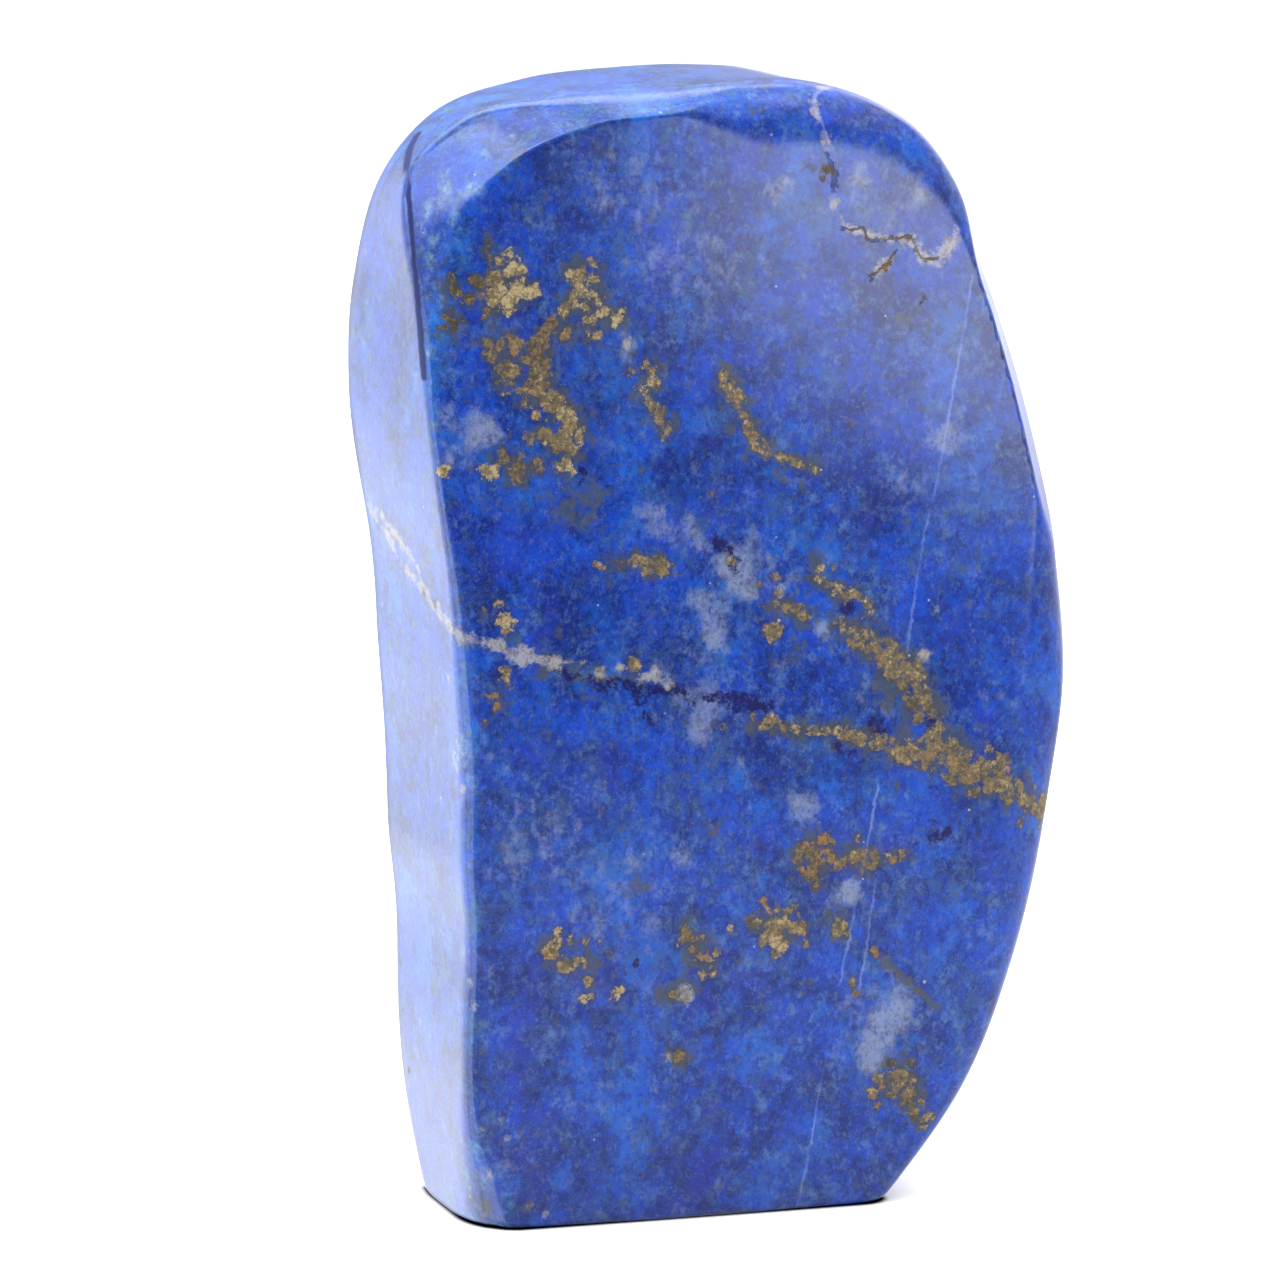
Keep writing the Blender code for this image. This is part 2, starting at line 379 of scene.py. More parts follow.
def outside_ground_faces(points):
    """How far points are outside the ground faces, under 0 inside them all. The sawn foot isn't one."""
    x, y, z = (points - DRAWN_MIDDLE).T
    line = read_edge_line(np.arctan2(z, x) % (2 * np.pi))
    radius, lean, round_front, round_back, on_front, on_side = line
    on_front = np.maximum(on_front, NO_CUT)
    on_side = np.maximum(on_side, NO_CUT)
    lean = np.radians(lean)
    front = ground_face(points, *FRONT_FACE)
    side = (np.hypot(x, z) - radius) * np.cos(lean) - y * np.sin(lean)
    cut_depth = on_front * on_side / np.hypot(on_front, on_side)
    cut = (side / on_front + front / on_side + 1) * cut_depth
    stone = run_together(front, ground_face(points, *LEFT_BAND), LEFT_BAND_ROUND)
    stone = run_together(stone, side, round_front)
    stone = run_together(stone, ground_face(points, *BACK_FACE), round_back)
    round_cut = np.where(side > front, RIDGE_ROUND, EDGE_ROUND)
    round_cut = np.where(x > 0, FACET_ROUND, round_cut)
    return run_together(stone, cut, round_cut)


def outside(points):
    """How far the points are outside the stone, under 0 inside it."""
    return run_together(outside_ground_faces(points), -points[:, 2], FOOT_ROUND)


# %% A fine skin on those faces
def select_faces(mesh, wanted):
    """Selects exactly these faces, in object mode."""
    mesh.vertices.foreach_set("select", np.zeros(len(mesh.vertices), bool))
    mesh.edges.foreach_set("select", np.zeros(len(mesh.edges), bool))
    mesh.polygons.foreach_set("select", wanted)


def in_edit_mode(*steps):
    """Runs operators in edit mode on the active object, each given as a call and its settings."""
    bpy.ops.object.mode_set(mode="EDIT")
    bpy.ops.mesh.select_mode(type="FACE")
    for step, settings in steps:
        step(**settings)
    bpy.ops.object.mode_set(mode="OBJECT")


def points_of(mesh):
    """The mesh's points as rows, in mm."""
    flat = np.empty(len(mesh.vertices) * 3, np.float32)
    mesh.vertices.foreach_get("co", flat)
    return flat.reshape(-1, 3).astype(float) / MM


def normals_of(mesh):
    """The direction that each face points in."""
    flat = np.empty(len(mesh.polygons) * 3, np.float32)
    mesh.polygons.foreach_get("normal", flat)
    return flat.reshape(-1, 3)


bpy.ops.object.select_all(action="DESELECT")
solid = frame["nodes"]["lapis_stone"]
solid.select_set(True)
bpy.context.view_layer.objects.active = solid
bpy.ops.object.duplicate()
stone = bpy.context.object
stone.name = "polished_stone"
stone.data.name = "polished_stone"
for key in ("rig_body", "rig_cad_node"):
    if key in stone:
        del stone[key]
stone.parent = None
in_edit_mode(
    (bpy.ops.mesh.select_all, {"action": "SELECT"}),
    (bpy.ops.mesh.remove_doubles, {"threshold": 1e-6}),
    (bpy.ops.mesh.tris_convert_to_quads, {}),
    (bpy.ops.mesh.subdivide, {"number_cuts": 3}),
)
print("divided:", len(stone.data.vertices), "points,", len(stone.data.polygons), "faces")

# %% Lay the skin on the ground faces
HALVINGS = 18
REACH = 0.04

def lay_on(mesh):
    """Moves the mesh's points along their lines from the middle onto the ground faces."""
    points = points_of(mesh)
    from_middle = points + SET_OVER - DRAWN_MIDDLE
    inner = np.full(len(from_middle), 1.0 - REACH)
    outer = np.full(len(from_middle), 1.0 + REACH)
    for _ in range(HALVINGS):
        halfway = (inner + outer) / 2
        inside = outside(DRAWN_MIDDLE + from_middle * halfway[:, None]) < 0
        inner = np.where(inside, halfway, inner)
        outer = np.where(inside, outer, halfway)
    laid = DRAWN_MIDDLE + from_middle * inner[:, None] - SET_OVER
    laid[:, 2] = np.maximum(laid[:, 2], 0.0)
    moved = np.linalg.norm(laid - points, axis=1)
    print(f"points moved by up to {moved.max():.2f} mm, {moved.mean():.3f} mm on average")
    mesh.vertices.foreach_set("co", (laid * MM).astype(np.float32).ravel())
    mesh.update()


lay_on(stone.data)

# %% Finer where the photograph looks
TOWARDS_VIEW = np.array([-0.45, -0.85, 0.28])
FACING = 0.35
select_faces(stone.data, normals_of(stone.data) @ TOWARDS_VIEW > FACING)
in_edit_mode((bpy.ops.mesh.subdivide, {"number_cuts": 1}))
lay_on(stone.data)
triangles = sum(len(face.vertices) - 2 for face in stone.data.polygons)
print("with the front divided again:", len(stone.data.vertices), "points,", triangles, "triangles")

# %% [markdown]
# A polish shows every unevenness of the shading, and Blender works a point's normal out from the faces round
# it, which are of many sizes here. The ground faces know better which way they face, so each point is given
# the exact direction as a custom normal.

# %% The exact normal at each point
PROBE = 0.005


def facing_out(points):
    """Which way the surface faces at points that lie on it."""
    drawn = points + SET_OVER
    steps = np.eye(3) * PROBE
    slope = np.column_stack([outside(drawn + step) - outside(drawn - step) for step in steps])
    return slope / np.linalg.norm(slope, axis=1, keepdims=True)


stone.data.shade_smooth()
stone.data.normals_split_custom_set_from_vertices(facing_out(points_of(stone.data)).tolist())
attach(stone, "root")
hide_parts("lapis_stone")

# %% [markdown]
# The polish has rounded the foot's edge, so the stone stands on a slightly smaller flat. Hardly any light gets into
# the narrow gap round it: in the photograph it is a thin black line. A black sheet, cut to the foot's outline, paints
# that shade, and fades out a little beyond the outline as a painted contact shadow.

# %% Painted shade under the foot's edge, and a painted contact shadow round it
GAP_CORNERS = 72
LOW_MM = 0.4
GAP_INSET_MM = 0.15
# how far the painted contact shadow fades out beyond the foot's outline
SHADE_REACH_MM = 0.9
low = points_of(stone.data)
low = low[low[:, 2] < LOW_MM][:, :2]
foot_middle = (low.min(axis=0) + low.max(axis=0)) / 2
bpy.ops.object.select_all(action="DESELECT")
bpy.ops.mesh.primitive_circle_add(vertices=GAP_CORNERS, radius=1.0, fill_type="NGON")
gap = bpy.context.object
gap.name = "painted_gap_shadow"
in_edit_mode((bpy.ops.mesh.select_all, {"action": "SELECT"}), (bpy.ops.mesh.inset, {"thickness": 0.2}))
painted_shadow = gap.data.attributes.new("painted_shadow", "FLOAT", "POINT")
for vertex, dark in zip(gap.data.vertices, painted_shadow.data):
    ahead = np.array(vertex.co.xy)
    inner = np.linalg.norm(ahead) < 0.9
    ahead = ahead / np.linalg.norm(ahead)
    # the outline's reach in a direction is that of the point that lies farthest along it
    farthest = low[((low - foot_middle) @ ahead).argmax()]
    corner = farthest + ahead * (-GAP_INSET_MM if inner else SHADE_REACH_MM)
    vertex.co = (corner[0] * MM, corner[1] * MM, 0.02 * MM)
    dark.value = 1.0 if inner else 0.0
black = bpy.data.materials.new("painted_shadow_sheet")
black.use_nodes = True
black_tree = black.node_tree
black_shader = black_tree.nodes["Principled BSDF"]
black_shader.inputs["Base Color"].default_value = (0.0, 0.0, 0.0, 1.0)
black_shader.inputs["Specular IOR Level"].default_value = 0.0
how_dark = black_tree.nodes.new("ShaderNodeAttribute")
how_dark.attribute_name = "painted_shadow"
fading = black_tree.nodes.new("ShaderNodeMath")
fading.operation = "POWER"
fading.inputs[1].default_value = 2.0
black_tree.links.new(how_dark.outputs["Fac"], fading.inputs[0])
black_tree.links.new(fading.outputs[0], black_shader.inputs["Alpha"])
gap.data.materials.append(black)

# %% [markdown]
# ## Where the markings lie
#
# The pyrite, the vein and the cracks of this stone are its portrait, so their places are read from the photograph.
# Each is a row of a picture's column and line, in the photograph's 1280 × 1280 frame, and a radius in the same pixels.
# A ray from the camera through that pixel lays it on the stone.
#
# They could be painted on an image, but a painting has a fixed sharpness. Here each point of the skin only
# stores how far it is from a marking, and the material draws the edge, as fine and as ragged as it needs.

# %% From a place in the photograph to a place on the stone
PHOTO_SIZE = 1280
FOCAL_PX = PHOTO_SIZE * LENS_MM / camera.data.sensor_width
PX_PER_MM = 9.8
NEAREST_MM, FARTHEST_MM = 560.0, 690.0
LOOKS = 261


def seen_at(places):
    """The stone's points that show at these places of the photograph, in mm."""
    u, v = np.array(places, float)[:, :2].T
    forward = (aim - camera_place).normalized()
    right = forward.cross(Vector((0, 0, 1))).normalized()
    across = (u - PHOTO_SIZE / 2)[:, None] / FOCAL_PX * np.array(right)
    down = (v - PHOTO_SIZE / 2)[:, None] / FOCAL_PX * np.array(forward.cross(right))
    ray = np.array(forward) + across + down
    ray /= np.linalg.norm(ray, axis=1, keepdims=True)
    start = np.array(camera_place) / MM
    far = np.linspace(NEAREST_MM, FARTHEST_MM, LOOKS)
    on_rays = start + ray[:, None, :] * far[None, :, None]
    level = outside(on_rays.reshape(-1, 3) + SET_OVER).reshape(len(u), LOOKS)
    # a ray that just misses the rim takes the place where it comes nearest
    first = np.where((level < 0).any(axis=1), (level < 0).argmax(axis=1), level.argmin(axis=1))
    row = np.arange(len(u))
    here, before = level[row, first], level[row, first - 1]
    back = np.where(here < 0, here / (here - before), 0.0)
    return start + ray * (far[first] - back * (far[1] - far[0]))[:, None]


def laid(rows):
    """Rows of column, line and radius in pixels, as rows of x, y, z and radius in mm."""
    return np.column_stack([seen_at(rows), np.array(rows, float)[:, 2] / PX_PER_MM])


skin = points_of(stone.data)
front_left = seen_at([(480, 1100)])[0]
print("column 480, line 1100 is at", front_left.round(1), "mm")

# %% Distances from spots and paths
FAR_MM = 30.0


def from_spots(points, spots):
    """How far points are outside the nearest of some round spots, in mm."""
    nearest = np.full(len(points), FAR_MM)
    for spot in spots:
        nearest = np.minimum(nearest, np.linalg.norm(points - spot[:3], axis=1) - spot[3])
    return nearest


def from_path(points, path):
    """How far points are outside a path whose rows give its half width."""
    nearest = np.full(len(points), FAR_MM)
    for a, b in zip(path[:-1], path[1:]):
        run = b[:3] - a[:3]
        t = np.clip((points - a[:3]) @ run / (run @ run), 0.0, 1.0)
        away = np.linalg.norm(points - a[:3] - t[:, None] * run, axis=1)
        nearest = np.minimum(nearest, away - a[3] - t * (b[3] - a[3]))
    return nearest


def beside_path(points, path, facing):
    """Offset to the right of a thin path and distance from it. The offset's sign keeps the line crisp."""
    offset = np.full(len(points), FAR_MM)
    nearest = np.full(len(points), FAR_MM)
    for a, b in zip(path[:-1], path[1:]):
        run = b[:3] - a[:3]
        side = np.cross(run, facing)
        side /= np.linalg.norm(side)
        t = np.clip((points - a[:3]) @ run / (run @ run), 0.0, 1.0)
        away = np.linalg.norm(points - a[:3] - t[:, None] * run, axis=1)
        closer = away < nearest
        nearest = np.where(closer, away, nearest)
        offset = np.where(closer, (points - a[:3]) @ side, offset)
    return offset, nearest


def store(name, values):
    """Keeps one number for each point of the skin, for the material to read."""
    layer = stone.data.attributes.new(name, "FLOAT", "POINT")
    layer.data.foreach_set("value", np.asarray(values, np.float32))
    print(f"{name}: {values.min():.2f} to {values.max():.2f}")


# %% [markdown]
# Pyrite sits in the stone as heaps of small grains. Where the saw and the polish opened them, they show pale
# gold, brassy, rusty or brown. Each heap is given by its larger grains, sorted by tone.

# %% Pyrite in the front
PALE_GOLD = [
    # upper left heap
    (520, 269, 8), (508, 255, 5), (508, 273, 6), (518, 288, 9), (529, 291, 7), (537, 291, 4), (512, 297, 7),
    (495, 297, 9), (500, 290, 8), (495, 279, 9), (509, 304, 7), (510, 310, 4),
    # second heap
    (572, 275, 7), (581, 264, 4), (595, 277, 4), (597, 298, 5), (604, 313, 6), (617, 318, 7), (621, 314, 4),
    (616, 326, 4), (536, 414, 5), (579, 440, 5), (569, 445, 7), (568, 462, 6), (557, 467, 5), (571, 470, 4),
    (490, 471, 9), (443, 472, 6),
    # left of the vein and under it
    (505, 620, 9), (508, 631, 4), (498, 603, 5),
    # lower heaps
    (565, 966, 8), (558, 932, 4), (558, 939, 4), (587, 940, 3), (583, 998, 5), (616, 993, 6), (715, 952, 5),
    (732, 929, 5), (771, 936, 9), (779, 942, 8), (783, 947, 6), (779, 924, 8), (769, 910, 4), (806, 944, 4),
    (871, 1091, 5), (924, 1120, 5), (932, 1116, 4), (924, 1126, 4),
]
BRASS = [
    # second heap
    (591, 264, 5), (583, 278, 6), (579, 286, 6), (586, 293, 5), (573, 300, 6), (564, 308, 7), (558, 300, 2),
    (586, 305, 6), (592, 321, 4), (584, 321, 4), (592, 331, 3), (600, 335, 4), (591, 339, 3),
    # long heap
    (488, 343, 6), (491, 354, 5), (501, 343, 5), (511, 340, 6), (506, 363, 6), (510, 373, 6), (518, 371, 5),
    (505, 393, 4), (516, 389, 3), (528, 388, 6), (539, 391, 7), (543, 398, 6), (549, 388, 4), (527, 399, 3),
    (524, 407, 3), (556, 405, 10), (564, 414, 8), (543, 419, 3), (571, 424, 8), (548, 436, 9), (561, 436, 9),
    (579, 431, 5), (559, 447, 6), (571, 452, 5), (530, 437, 7), (516, 479, 5), (525, 479, 4),
    # chain to the right of it
    (628, 371, 5), (647, 364, 4), (652, 371, 5), (654, 383, 5), (654, 388, 4), (641, 388, 4), (637, 384, 3),
    (649, 401, 4), (652, 408, 4), (660, 412, 6), (659, 418, 5), (667, 429, 5), (675, 427, 2), (665, 436, 3),
    (722, 379, 6), (730, 390, 6), (736, 400, 5), (742, 412, 4), (747, 425, 4), (752, 437, 5), (758, 447, 5),
    (768, 455, 5), (780, 457, 4), (792, 460, 5), (803, 464, 4), (815, 469, 4),
    # middle
    (662, 566, 9), (643, 560, 5), (645, 571, 5), (712, 493, 3), (732, 560, 4), (596, 565, 3), (604, 570, 3),
    (635, 664, 7), (484, 611, 3), (504, 673, 6), (509, 685, 4), (487, 724, 4), (723, 728, 4), (604, 785, 2),
    (773, 632, 10), (779, 593, 4), (798, 611, 8), (766, 605, 3),
    # hook and branch above the vein
    (820, 567, 4), (819, 574, 4), (819, 580, 4), (834, 568, 3), (828, 584, 4), (838, 589, 4), (846, 595, 5),
    (852, 589, 3), (860, 596, 4), (866, 603, 5), (867, 611, 5), (873, 612, 3), (840, 622, 4), (842, 630, 4),
    (850, 630, 4), (866, 636, 6), (889, 643, 7), (873, 648, 7), (895, 654, 7), (915, 666, 8), (918, 677, 8),
    (891, 673, 8), (918, 691, 6), (924, 697, 6),
    # main vein
    (752, 718, 3), (771, 720, 6), (762, 726, 4), (785, 728, 6), (799, 730, 5), (811, 730, 4), (824, 730, 5),
    (834, 730, 5), (848, 736, 7), (862, 740, 7), (881, 744, 8), (897, 750, 9), (913, 750, 8), (909, 758, 7),
    (930, 736, 8), (938, 746, 9), (928, 758, 9), (952, 748, 9), (956, 764, 11), (950, 777, 7), (971, 775, 11),
    (985, 765, 7), (989, 746, 4), (989, 783, 9), (1005, 783, 9), (1011, 797, 8), (1024, 799, 7),
    (1034, 809, 7), (1022, 821, 4), (1041, 822, 4),
    # lower heaps
    (578, 961, 4), (571, 942, 3), (600, 942, 2), (609, 954, 4), (588, 981, 4), (591, 997, 2), (687, 936, 5),
    (687, 925, 3), (675, 945, 3), (695, 951, 6), (706, 959, 5), (703, 976, 5), (711, 972, 4), (678, 1054, 7),
    (787, 922, 6), (780, 910, 4), (792, 909, 5), (796, 912, 4), (777, 953, 5), (763, 942, 5), (844, 929, 6),
    (836, 929, 7), (875, 855, 6), (862, 851, 5), (864, 861, 6), (891, 862, 4), (883, 1083, 5), (879, 1077, 5),
    (875, 1096, 4), (891, 1093, 7), (879, 1106, 4), (853, 983, 4),
]
RUSTY = [
    (569, 330, 5), (563, 336, 5), (574, 328, 3), (513, 352, 4), (496, 381, 3), (501, 371, 3), (521, 457, 3),
    (538, 462, 4), (493, 696, 5), (496, 710, 4), (776, 576, 3), (550, 951, 8), (671, 994, 4), (702, 940, 4),
    (762, 902, 4), (799, 859, 7), (809, 853, 7), (818, 861, 8), (830, 855, 7), (838, 865, 6), (811, 871, 8),
    (805, 865, 6), (815, 879, 5), (824, 837, 6), (828, 845, 6), (856, 838, 4), (854, 857, 5), (887, 859, 4),
    (901, 855, 5), (1003, 762, 9), (971, 793, 5), (1034, 788, 2), (909, 1081, 5), (799, 928, 8), (875, 951, 4),
]
BROWN = [
    # rims and half-buried grains of the upper heaps
    (476, 281, 7), (470, 300, 5), (485, 313, 5), (450, 277, 3), (456, 291, 4), (445, 316, 3), (445, 328, 3),
    (453, 323, 4), (463, 322, 3), (488, 252, 3), (551, 323, 6), (543, 336, 7), (536, 349, 8), (528, 359, 7),
    (539, 361, 11), (541, 373, 8), (534, 379, 7), (520, 345, 4), (501, 452, 3), (503, 462, 4), (520, 467, 5),
    (538, 467, 4), (632, 561, 5), (618, 563, 3), (755, 586, 5), (789, 607, 6), (805, 618, 5),
    # vein
    (854, 644, 6), (883, 658, 9), (905, 671, 7), (913, 703, 8), (930, 709, 7), (918, 717, 6), (905, 688, 6),
    (940, 728, 6), (1000, 772, 6), (965, 758, 6),
    # lower heaps
    (815, 887, 3), (801, 850, 5), (860, 871, 6), (871, 865, 5), (850, 861, 5), (856, 995, 3), (752, 922, 6),
    (889, 1063, 6), (901, 1075, 8), (911, 1065, 5), (907, 1099, 7), (915, 1113, 7),
    # beside the crack
    (827, 169, 4), (822, 180, 3), (885, 268, 3), (873, 276, 2), (926, 298, 3), (922, 305, 2),
    # left face
    (355, 330, 3), (400, 960, 3), (404, 1010, 2), (409, 1070, 3), (424, 592, 3), (435, 604, 3),
]
# lightness from brown to pale gold, and rust
TONES = ((PALE_GOLD, 1.0, 0.0), (BRASS, 0.62, 0.12), (RUSTY, 0.6, 1.0), (BROWN, 0.2, 0.35))

# stretches where finer grains are strewn: a path, how thinly it is strewn (mm), lightness and rust
BANDS = (
    # the main vein, and the broad branch that runs down into it
    ([(756, 719, 3), (793, 730, 6), (830, 731, 7), (857, 738, 9), (885, 745, 10), (911, 752, 14)], 0.29, 0.60, 0.25),
    ([(911, 752, 14), (943, 756, 19), (964, 768, 21), (996, 779, 18), (1017, 792, 13), (1038, 811, 8)], 0.30, 0.55, 0.3),
    ([(836, 619, 7), (852, 634, 10), (868, 645, 13), (889, 660, 15), (908, 675, 15)], 0.33, 0.52, 0.15),
    ([(908, 675, 15), (921, 694, 13), (932, 711, 14), (938, 732, 15)], 0.43, 0.38, 0.15),
    # the hook over it
    ([(819, 562, 4), (816, 579, 5), (832, 588, 5), (845, 598, 6), (861, 594, 4), (868, 605, 5), (872, 616, 4)], 0.23, 0.62, 0.1),
    # upper left heap
    ([(500, 262, 7), (512, 272, 12), (512, 292, 13), (500, 302, 10), (505, 308, 6)], 0.23, 0.95, 0.0),
    ([(514, 290, 8), (530, 291, 5), (537, 292, 2)], 0.22, 0.95, 0.0),
    ([(487, 238, 2), (490, 262, 4), (488, 285, 7), (478, 298, 9), (466, 302, 7)], 0.37, 0.40, 0.2),
    ([(446, 276, 3), (455, 292, 6), (447, 312, 4), (448, 328, 4), (462, 322, 6)], 0.43, 0.35, 0.25),
    # second heap
    ([(571, 275, 7), (582, 264, 7), (593, 270, 7), (590, 285, 8), (580, 295, 10), (568, 305, 8)], 0.32, 0.75, 0.05),
    ([(596, 298, 7), (604, 312, 6), (614, 320, 7), (620, 314, 4)], 0.26, 0.85, 0.0),
    ([(588, 312, 9), (590, 326, 6), (592, 338, 4)], 0.35, 0.65, 0.05),
    ([(573, 330, 4), (562, 337, 6), (548, 335, 8), (538, 349, 9)], 0.30, 0.42, 0.6),
    # long heap
    ([(488, 342, 7), (494, 356, 8), (506, 372, 9), (518, 376, 7)], 0.28, 0.50, 0.35),
    ([(505, 343, 9), (512, 352, 8)], 0.33, 0.45, 0.4),
    ([(540, 350, 12), (540, 368, 13), (531, 384, 8), (540, 394, 8)], 0.26, 0.46, 0.3),
    ([(545, 394, 6), (556, 404, 9), (570, 420, 10), (578, 437, 8), (572, 452, 7), (560, 470, 5)], 0.25, 0.68, 0.08),
    ([(548, 436, 9), (560, 440, 10)], 0.22, 0.66, 0.1),
    ([(500, 452, 5), (514, 471, 6), (522, 481, 5), (532, 474, 6), (537, 462, 5)], 0.37, 0.40, 0.45),
    # chain and branch to the right of it
    ([(646, 362, 4), (654, 372, 5), (655, 386, 4)], 0.26, 0.62, 0.1),
    ([(648, 400, 3), (658, 414, 6), (668, 428, 5), (676, 426, 2)], 0.26, 0.62, 0.1),
    ([(722, 374, 5), (732, 383, 6), (741, 395, 5), (744, 410, 4), (751, 424, 5), (757, 438, 5), (768, 452, 3)], 0.22, 0.58, 0.15),
    ([(766, 451, 3), (778, 456, 4), (792, 461, 4), (818, 469, 3)], 0.25, 0.58, 0.1),
    # middle
    ([(618, 564, 3), (640, 562, 6), (660, 566, 9)], 0.33, 0.50, 0.1),
    ([(764, 604, 4), (783, 602, 6), (800, 612, 9), (806, 620, 6)], 0.36, 0.48, 0.2),
    # lower heaps
    ([(800, 850, 8), (818, 845, 9), (824, 858, 10), (812, 870, 10), (816, 882, 5)], 0.26, 0.55, 0.8),
    ([(840, 862, 5), (856, 850, 8), (868, 862, 9), (884, 860, 5), (902, 856, 4)], 0.30, 0.55, 0.5),
    ([(762, 916, 7), (776, 928, 13), (788, 930, 14), (800, 930, 7)], 0.30, 0.70, 0.25),
    ([(688, 926, 3), (695, 948, 9), (704, 958, 8)], 0.32, 0.55, 0.3),
    ([(549, 948, 7), (566, 966, 8), (584, 960, 5), (588, 980, 4)], 0.33, 0.70, 0.2),
    ([(668, 996, 5), (684, 994, 8)], 0.40, 0.5, 0.3),
    ([(674, 1050, 5), (680, 1058, 7)], 0.26, 0.5, 0.3),
    ([(872, 1090, 5), (888, 1078, 10), (905, 1070, 9), (906, 1090, 10), (918, 1108, 9), (926, 1120, 7)], 0.32, 0.55, 0.3),
    ([(836, 916, 5), (842, 930, 7)], 0.40, 0.5, 0.1),
)

grains = np.vstack([laid(rows) for rows, _, _ in TONES])
grain_light = np.concatenate([np.full(len(rows), light) for rows, light, _ in TONES])
grain_rust = np.concatenate([np.full(len(rows), rust) for rows, _, rust in TONES])
print(len(grains), "grains in the front and left, and", len(BANDS), "bands of finer ones")

# %% [markdown]
# The photograph doesn't show the back and the right side. They are cut from the same stone, so they get heaps
# of the same kind, thrown at random but the same at every run.

# %% Pyrite where the photograph doesn't look
rng = np.random.default_rng(26)
HIDDEN_HEAPS = 13
HEAP_GRAINS = (8, 26)
HEAP_REACH_MM = 4.5
hidden = skin[(skin[:, 1] > -4.0) & (skin[:, 2] > 4.0) & (skin[:, 0] > -25.0)]
hidden_rows = []
for _ in range(HIDDEN_HEAPS):
    heap = hidden[rng.integers(len(hidden))]
    beside = hidden[np.linalg.norm(hidden - heap, axis=1) < HEAP_REACH_MM * rng.uniform(0.6, 1.5)]
    for _ in range(rng.integers(*HEAP_GRAINS)):
        place = beside[rng.integers(len(beside))]
        hidden_rows.append([*place, rng.uniform(0.25, 0.95)])
hidden_rows = np.array(hidden_rows)
grains = np.vstack([grains, hidden_rows])
grain_light = np.concatenate([grain_light, rng.uniform(0.15, 1.0, len(hidden_rows))])
grain_rust = np.concatenate([grain_rust, rng.uniform(0.0, 1.0, len(hidden_rows)) ** 3])
print(len(hidden_rows), "grains in the back and right side")

# %% [markdown]
# ## The vein
#
# One vein runs right through the stone like a sheet: cream calcite on the left, almost black indigo in the
# middle and pyrite on the right. It is drawn where the photograph shows it, and carried on round the back as
# the same sheet, which climbs towards the back as it does on the left side.

# %% The vein's stretches in the front
CALCITE_PATH = [
    (462, 636, 3), (480, 641, 4), (497, 646, 5), (521, 656, 8), (540, 660, 3), (560, 664, 3), (582, 665, 0),
]
LEFT_SIDE_PATH = [
    (366, 500, 3), (385, 532, 4), (400, 560, 5), (418, 585, 6), (432, 602, 6), (450, 628, 5), (462, 636, 4),
]
CRACK_FILLING = [
    (846, 228, 1), (867, 235, 2), (881, 238, 4), (890, 239, 5), (901, 238, 5), (910, 238, 5), (917, 250, 4),
    (925, 258, 4), (938, 259, 5), (948, 250, 5), (955, 240, 4), (959, 230, 2),
]
BRANCH_FILLING = [(893, 256, 1), (885, 266, 3), (873, 276, 4)]
INDIGO_PATH = [
    (548, 658, 4), (576, 677, 5), (603, 684, 5), (627, 684, 4), (644, 691, 6), (672, 690, 5), (701, 697, 6),
    (725, 699, 9), (750, 705, 9), (768, 708, 4),
]
INDIGO_SPUR = [(635, 687, 6), (640, 705, 5), (652, 724, 3)]
INDIGO_SPOTS = [
    (720, 545, 7), (727, 549, 8), (734, 560, 5), (735, 570, 3), (580, 468, 5), (581, 478, 6), (936, 834, 6),
    (946, 834, 6), (958, 842, 5), (914, 846, 3), (848, 607, 7), (855, 611, 6), (871, 724, 7), (883, 728, 7),
    (855, 722, 4), (930, 724, 5), (840, 747, 5), (852, 751, 4), (934, 787, 4), (812, 169, 5), (939, 328, 4),
    (713, 822, 4), (637, 964, 3), (735, 956, 3), (755, 690, 6), (770, 704, 5),
]
PALE_CRUMBS_AND_GLINT = [
    # painted highlight: the crumbs at 558, 493 and 560, 489 are a glint, painted white
    (464, 789, 2), (471, 986, 2), (475, 1005, 2), (862, 1069, 2), (558, 493, 2), (560, 489, 1), (773, 663, 1),
    (936, 610, 3), (924, 656, 4), (838, 922, 4), (842, 936, 3), (686, 997, 8), (667, 1058, 4), (782, 590, 3),
    (627, 344, 3), (773, 925, 2), (448, 680, 2), (455, 742, 2),
    (831, 85, 3), (825, 88, 3), (817, 94, 2), (813, 102, 2), (815, 110, 3), (818, 117, 2), (821, 124, 2),
    (825, 133, 2), (828, 141, 3), (830, 150, 2), (835, 203, 2), (842, 220, 2), (500, 1120, 3), (482, 1131, 2),
    (484, 1214, 2), (531, 1207, 2), (545, 1214, 1), (576, 1101, 2), (505, 1140, 2), (520, 1165, 1),
    (640, 1197, 1), (490, 1176, 1), (601, 675, 4), (620, 668, 3), (640, 678, 4), (655, 676, 5), (668, 681, 5),
]

# %% The same vein behind
VEIN_RISE = 0.5
VEIN_LINE = [(-40, 66), (-30, 61.5), (-17, 58), (-3, 54), (10, 50), (20, 46.5), (33, 40), (42, 36)]
FRONT_Y = -18.8
vein_x, vein_z = np.array(VEIN_LINE, float).T
x, y, z = skin.T
sheet = np.abs(z - (y - FRONT_Y) * VEIN_RISE - np.interp(x, vein_x, vein_z))
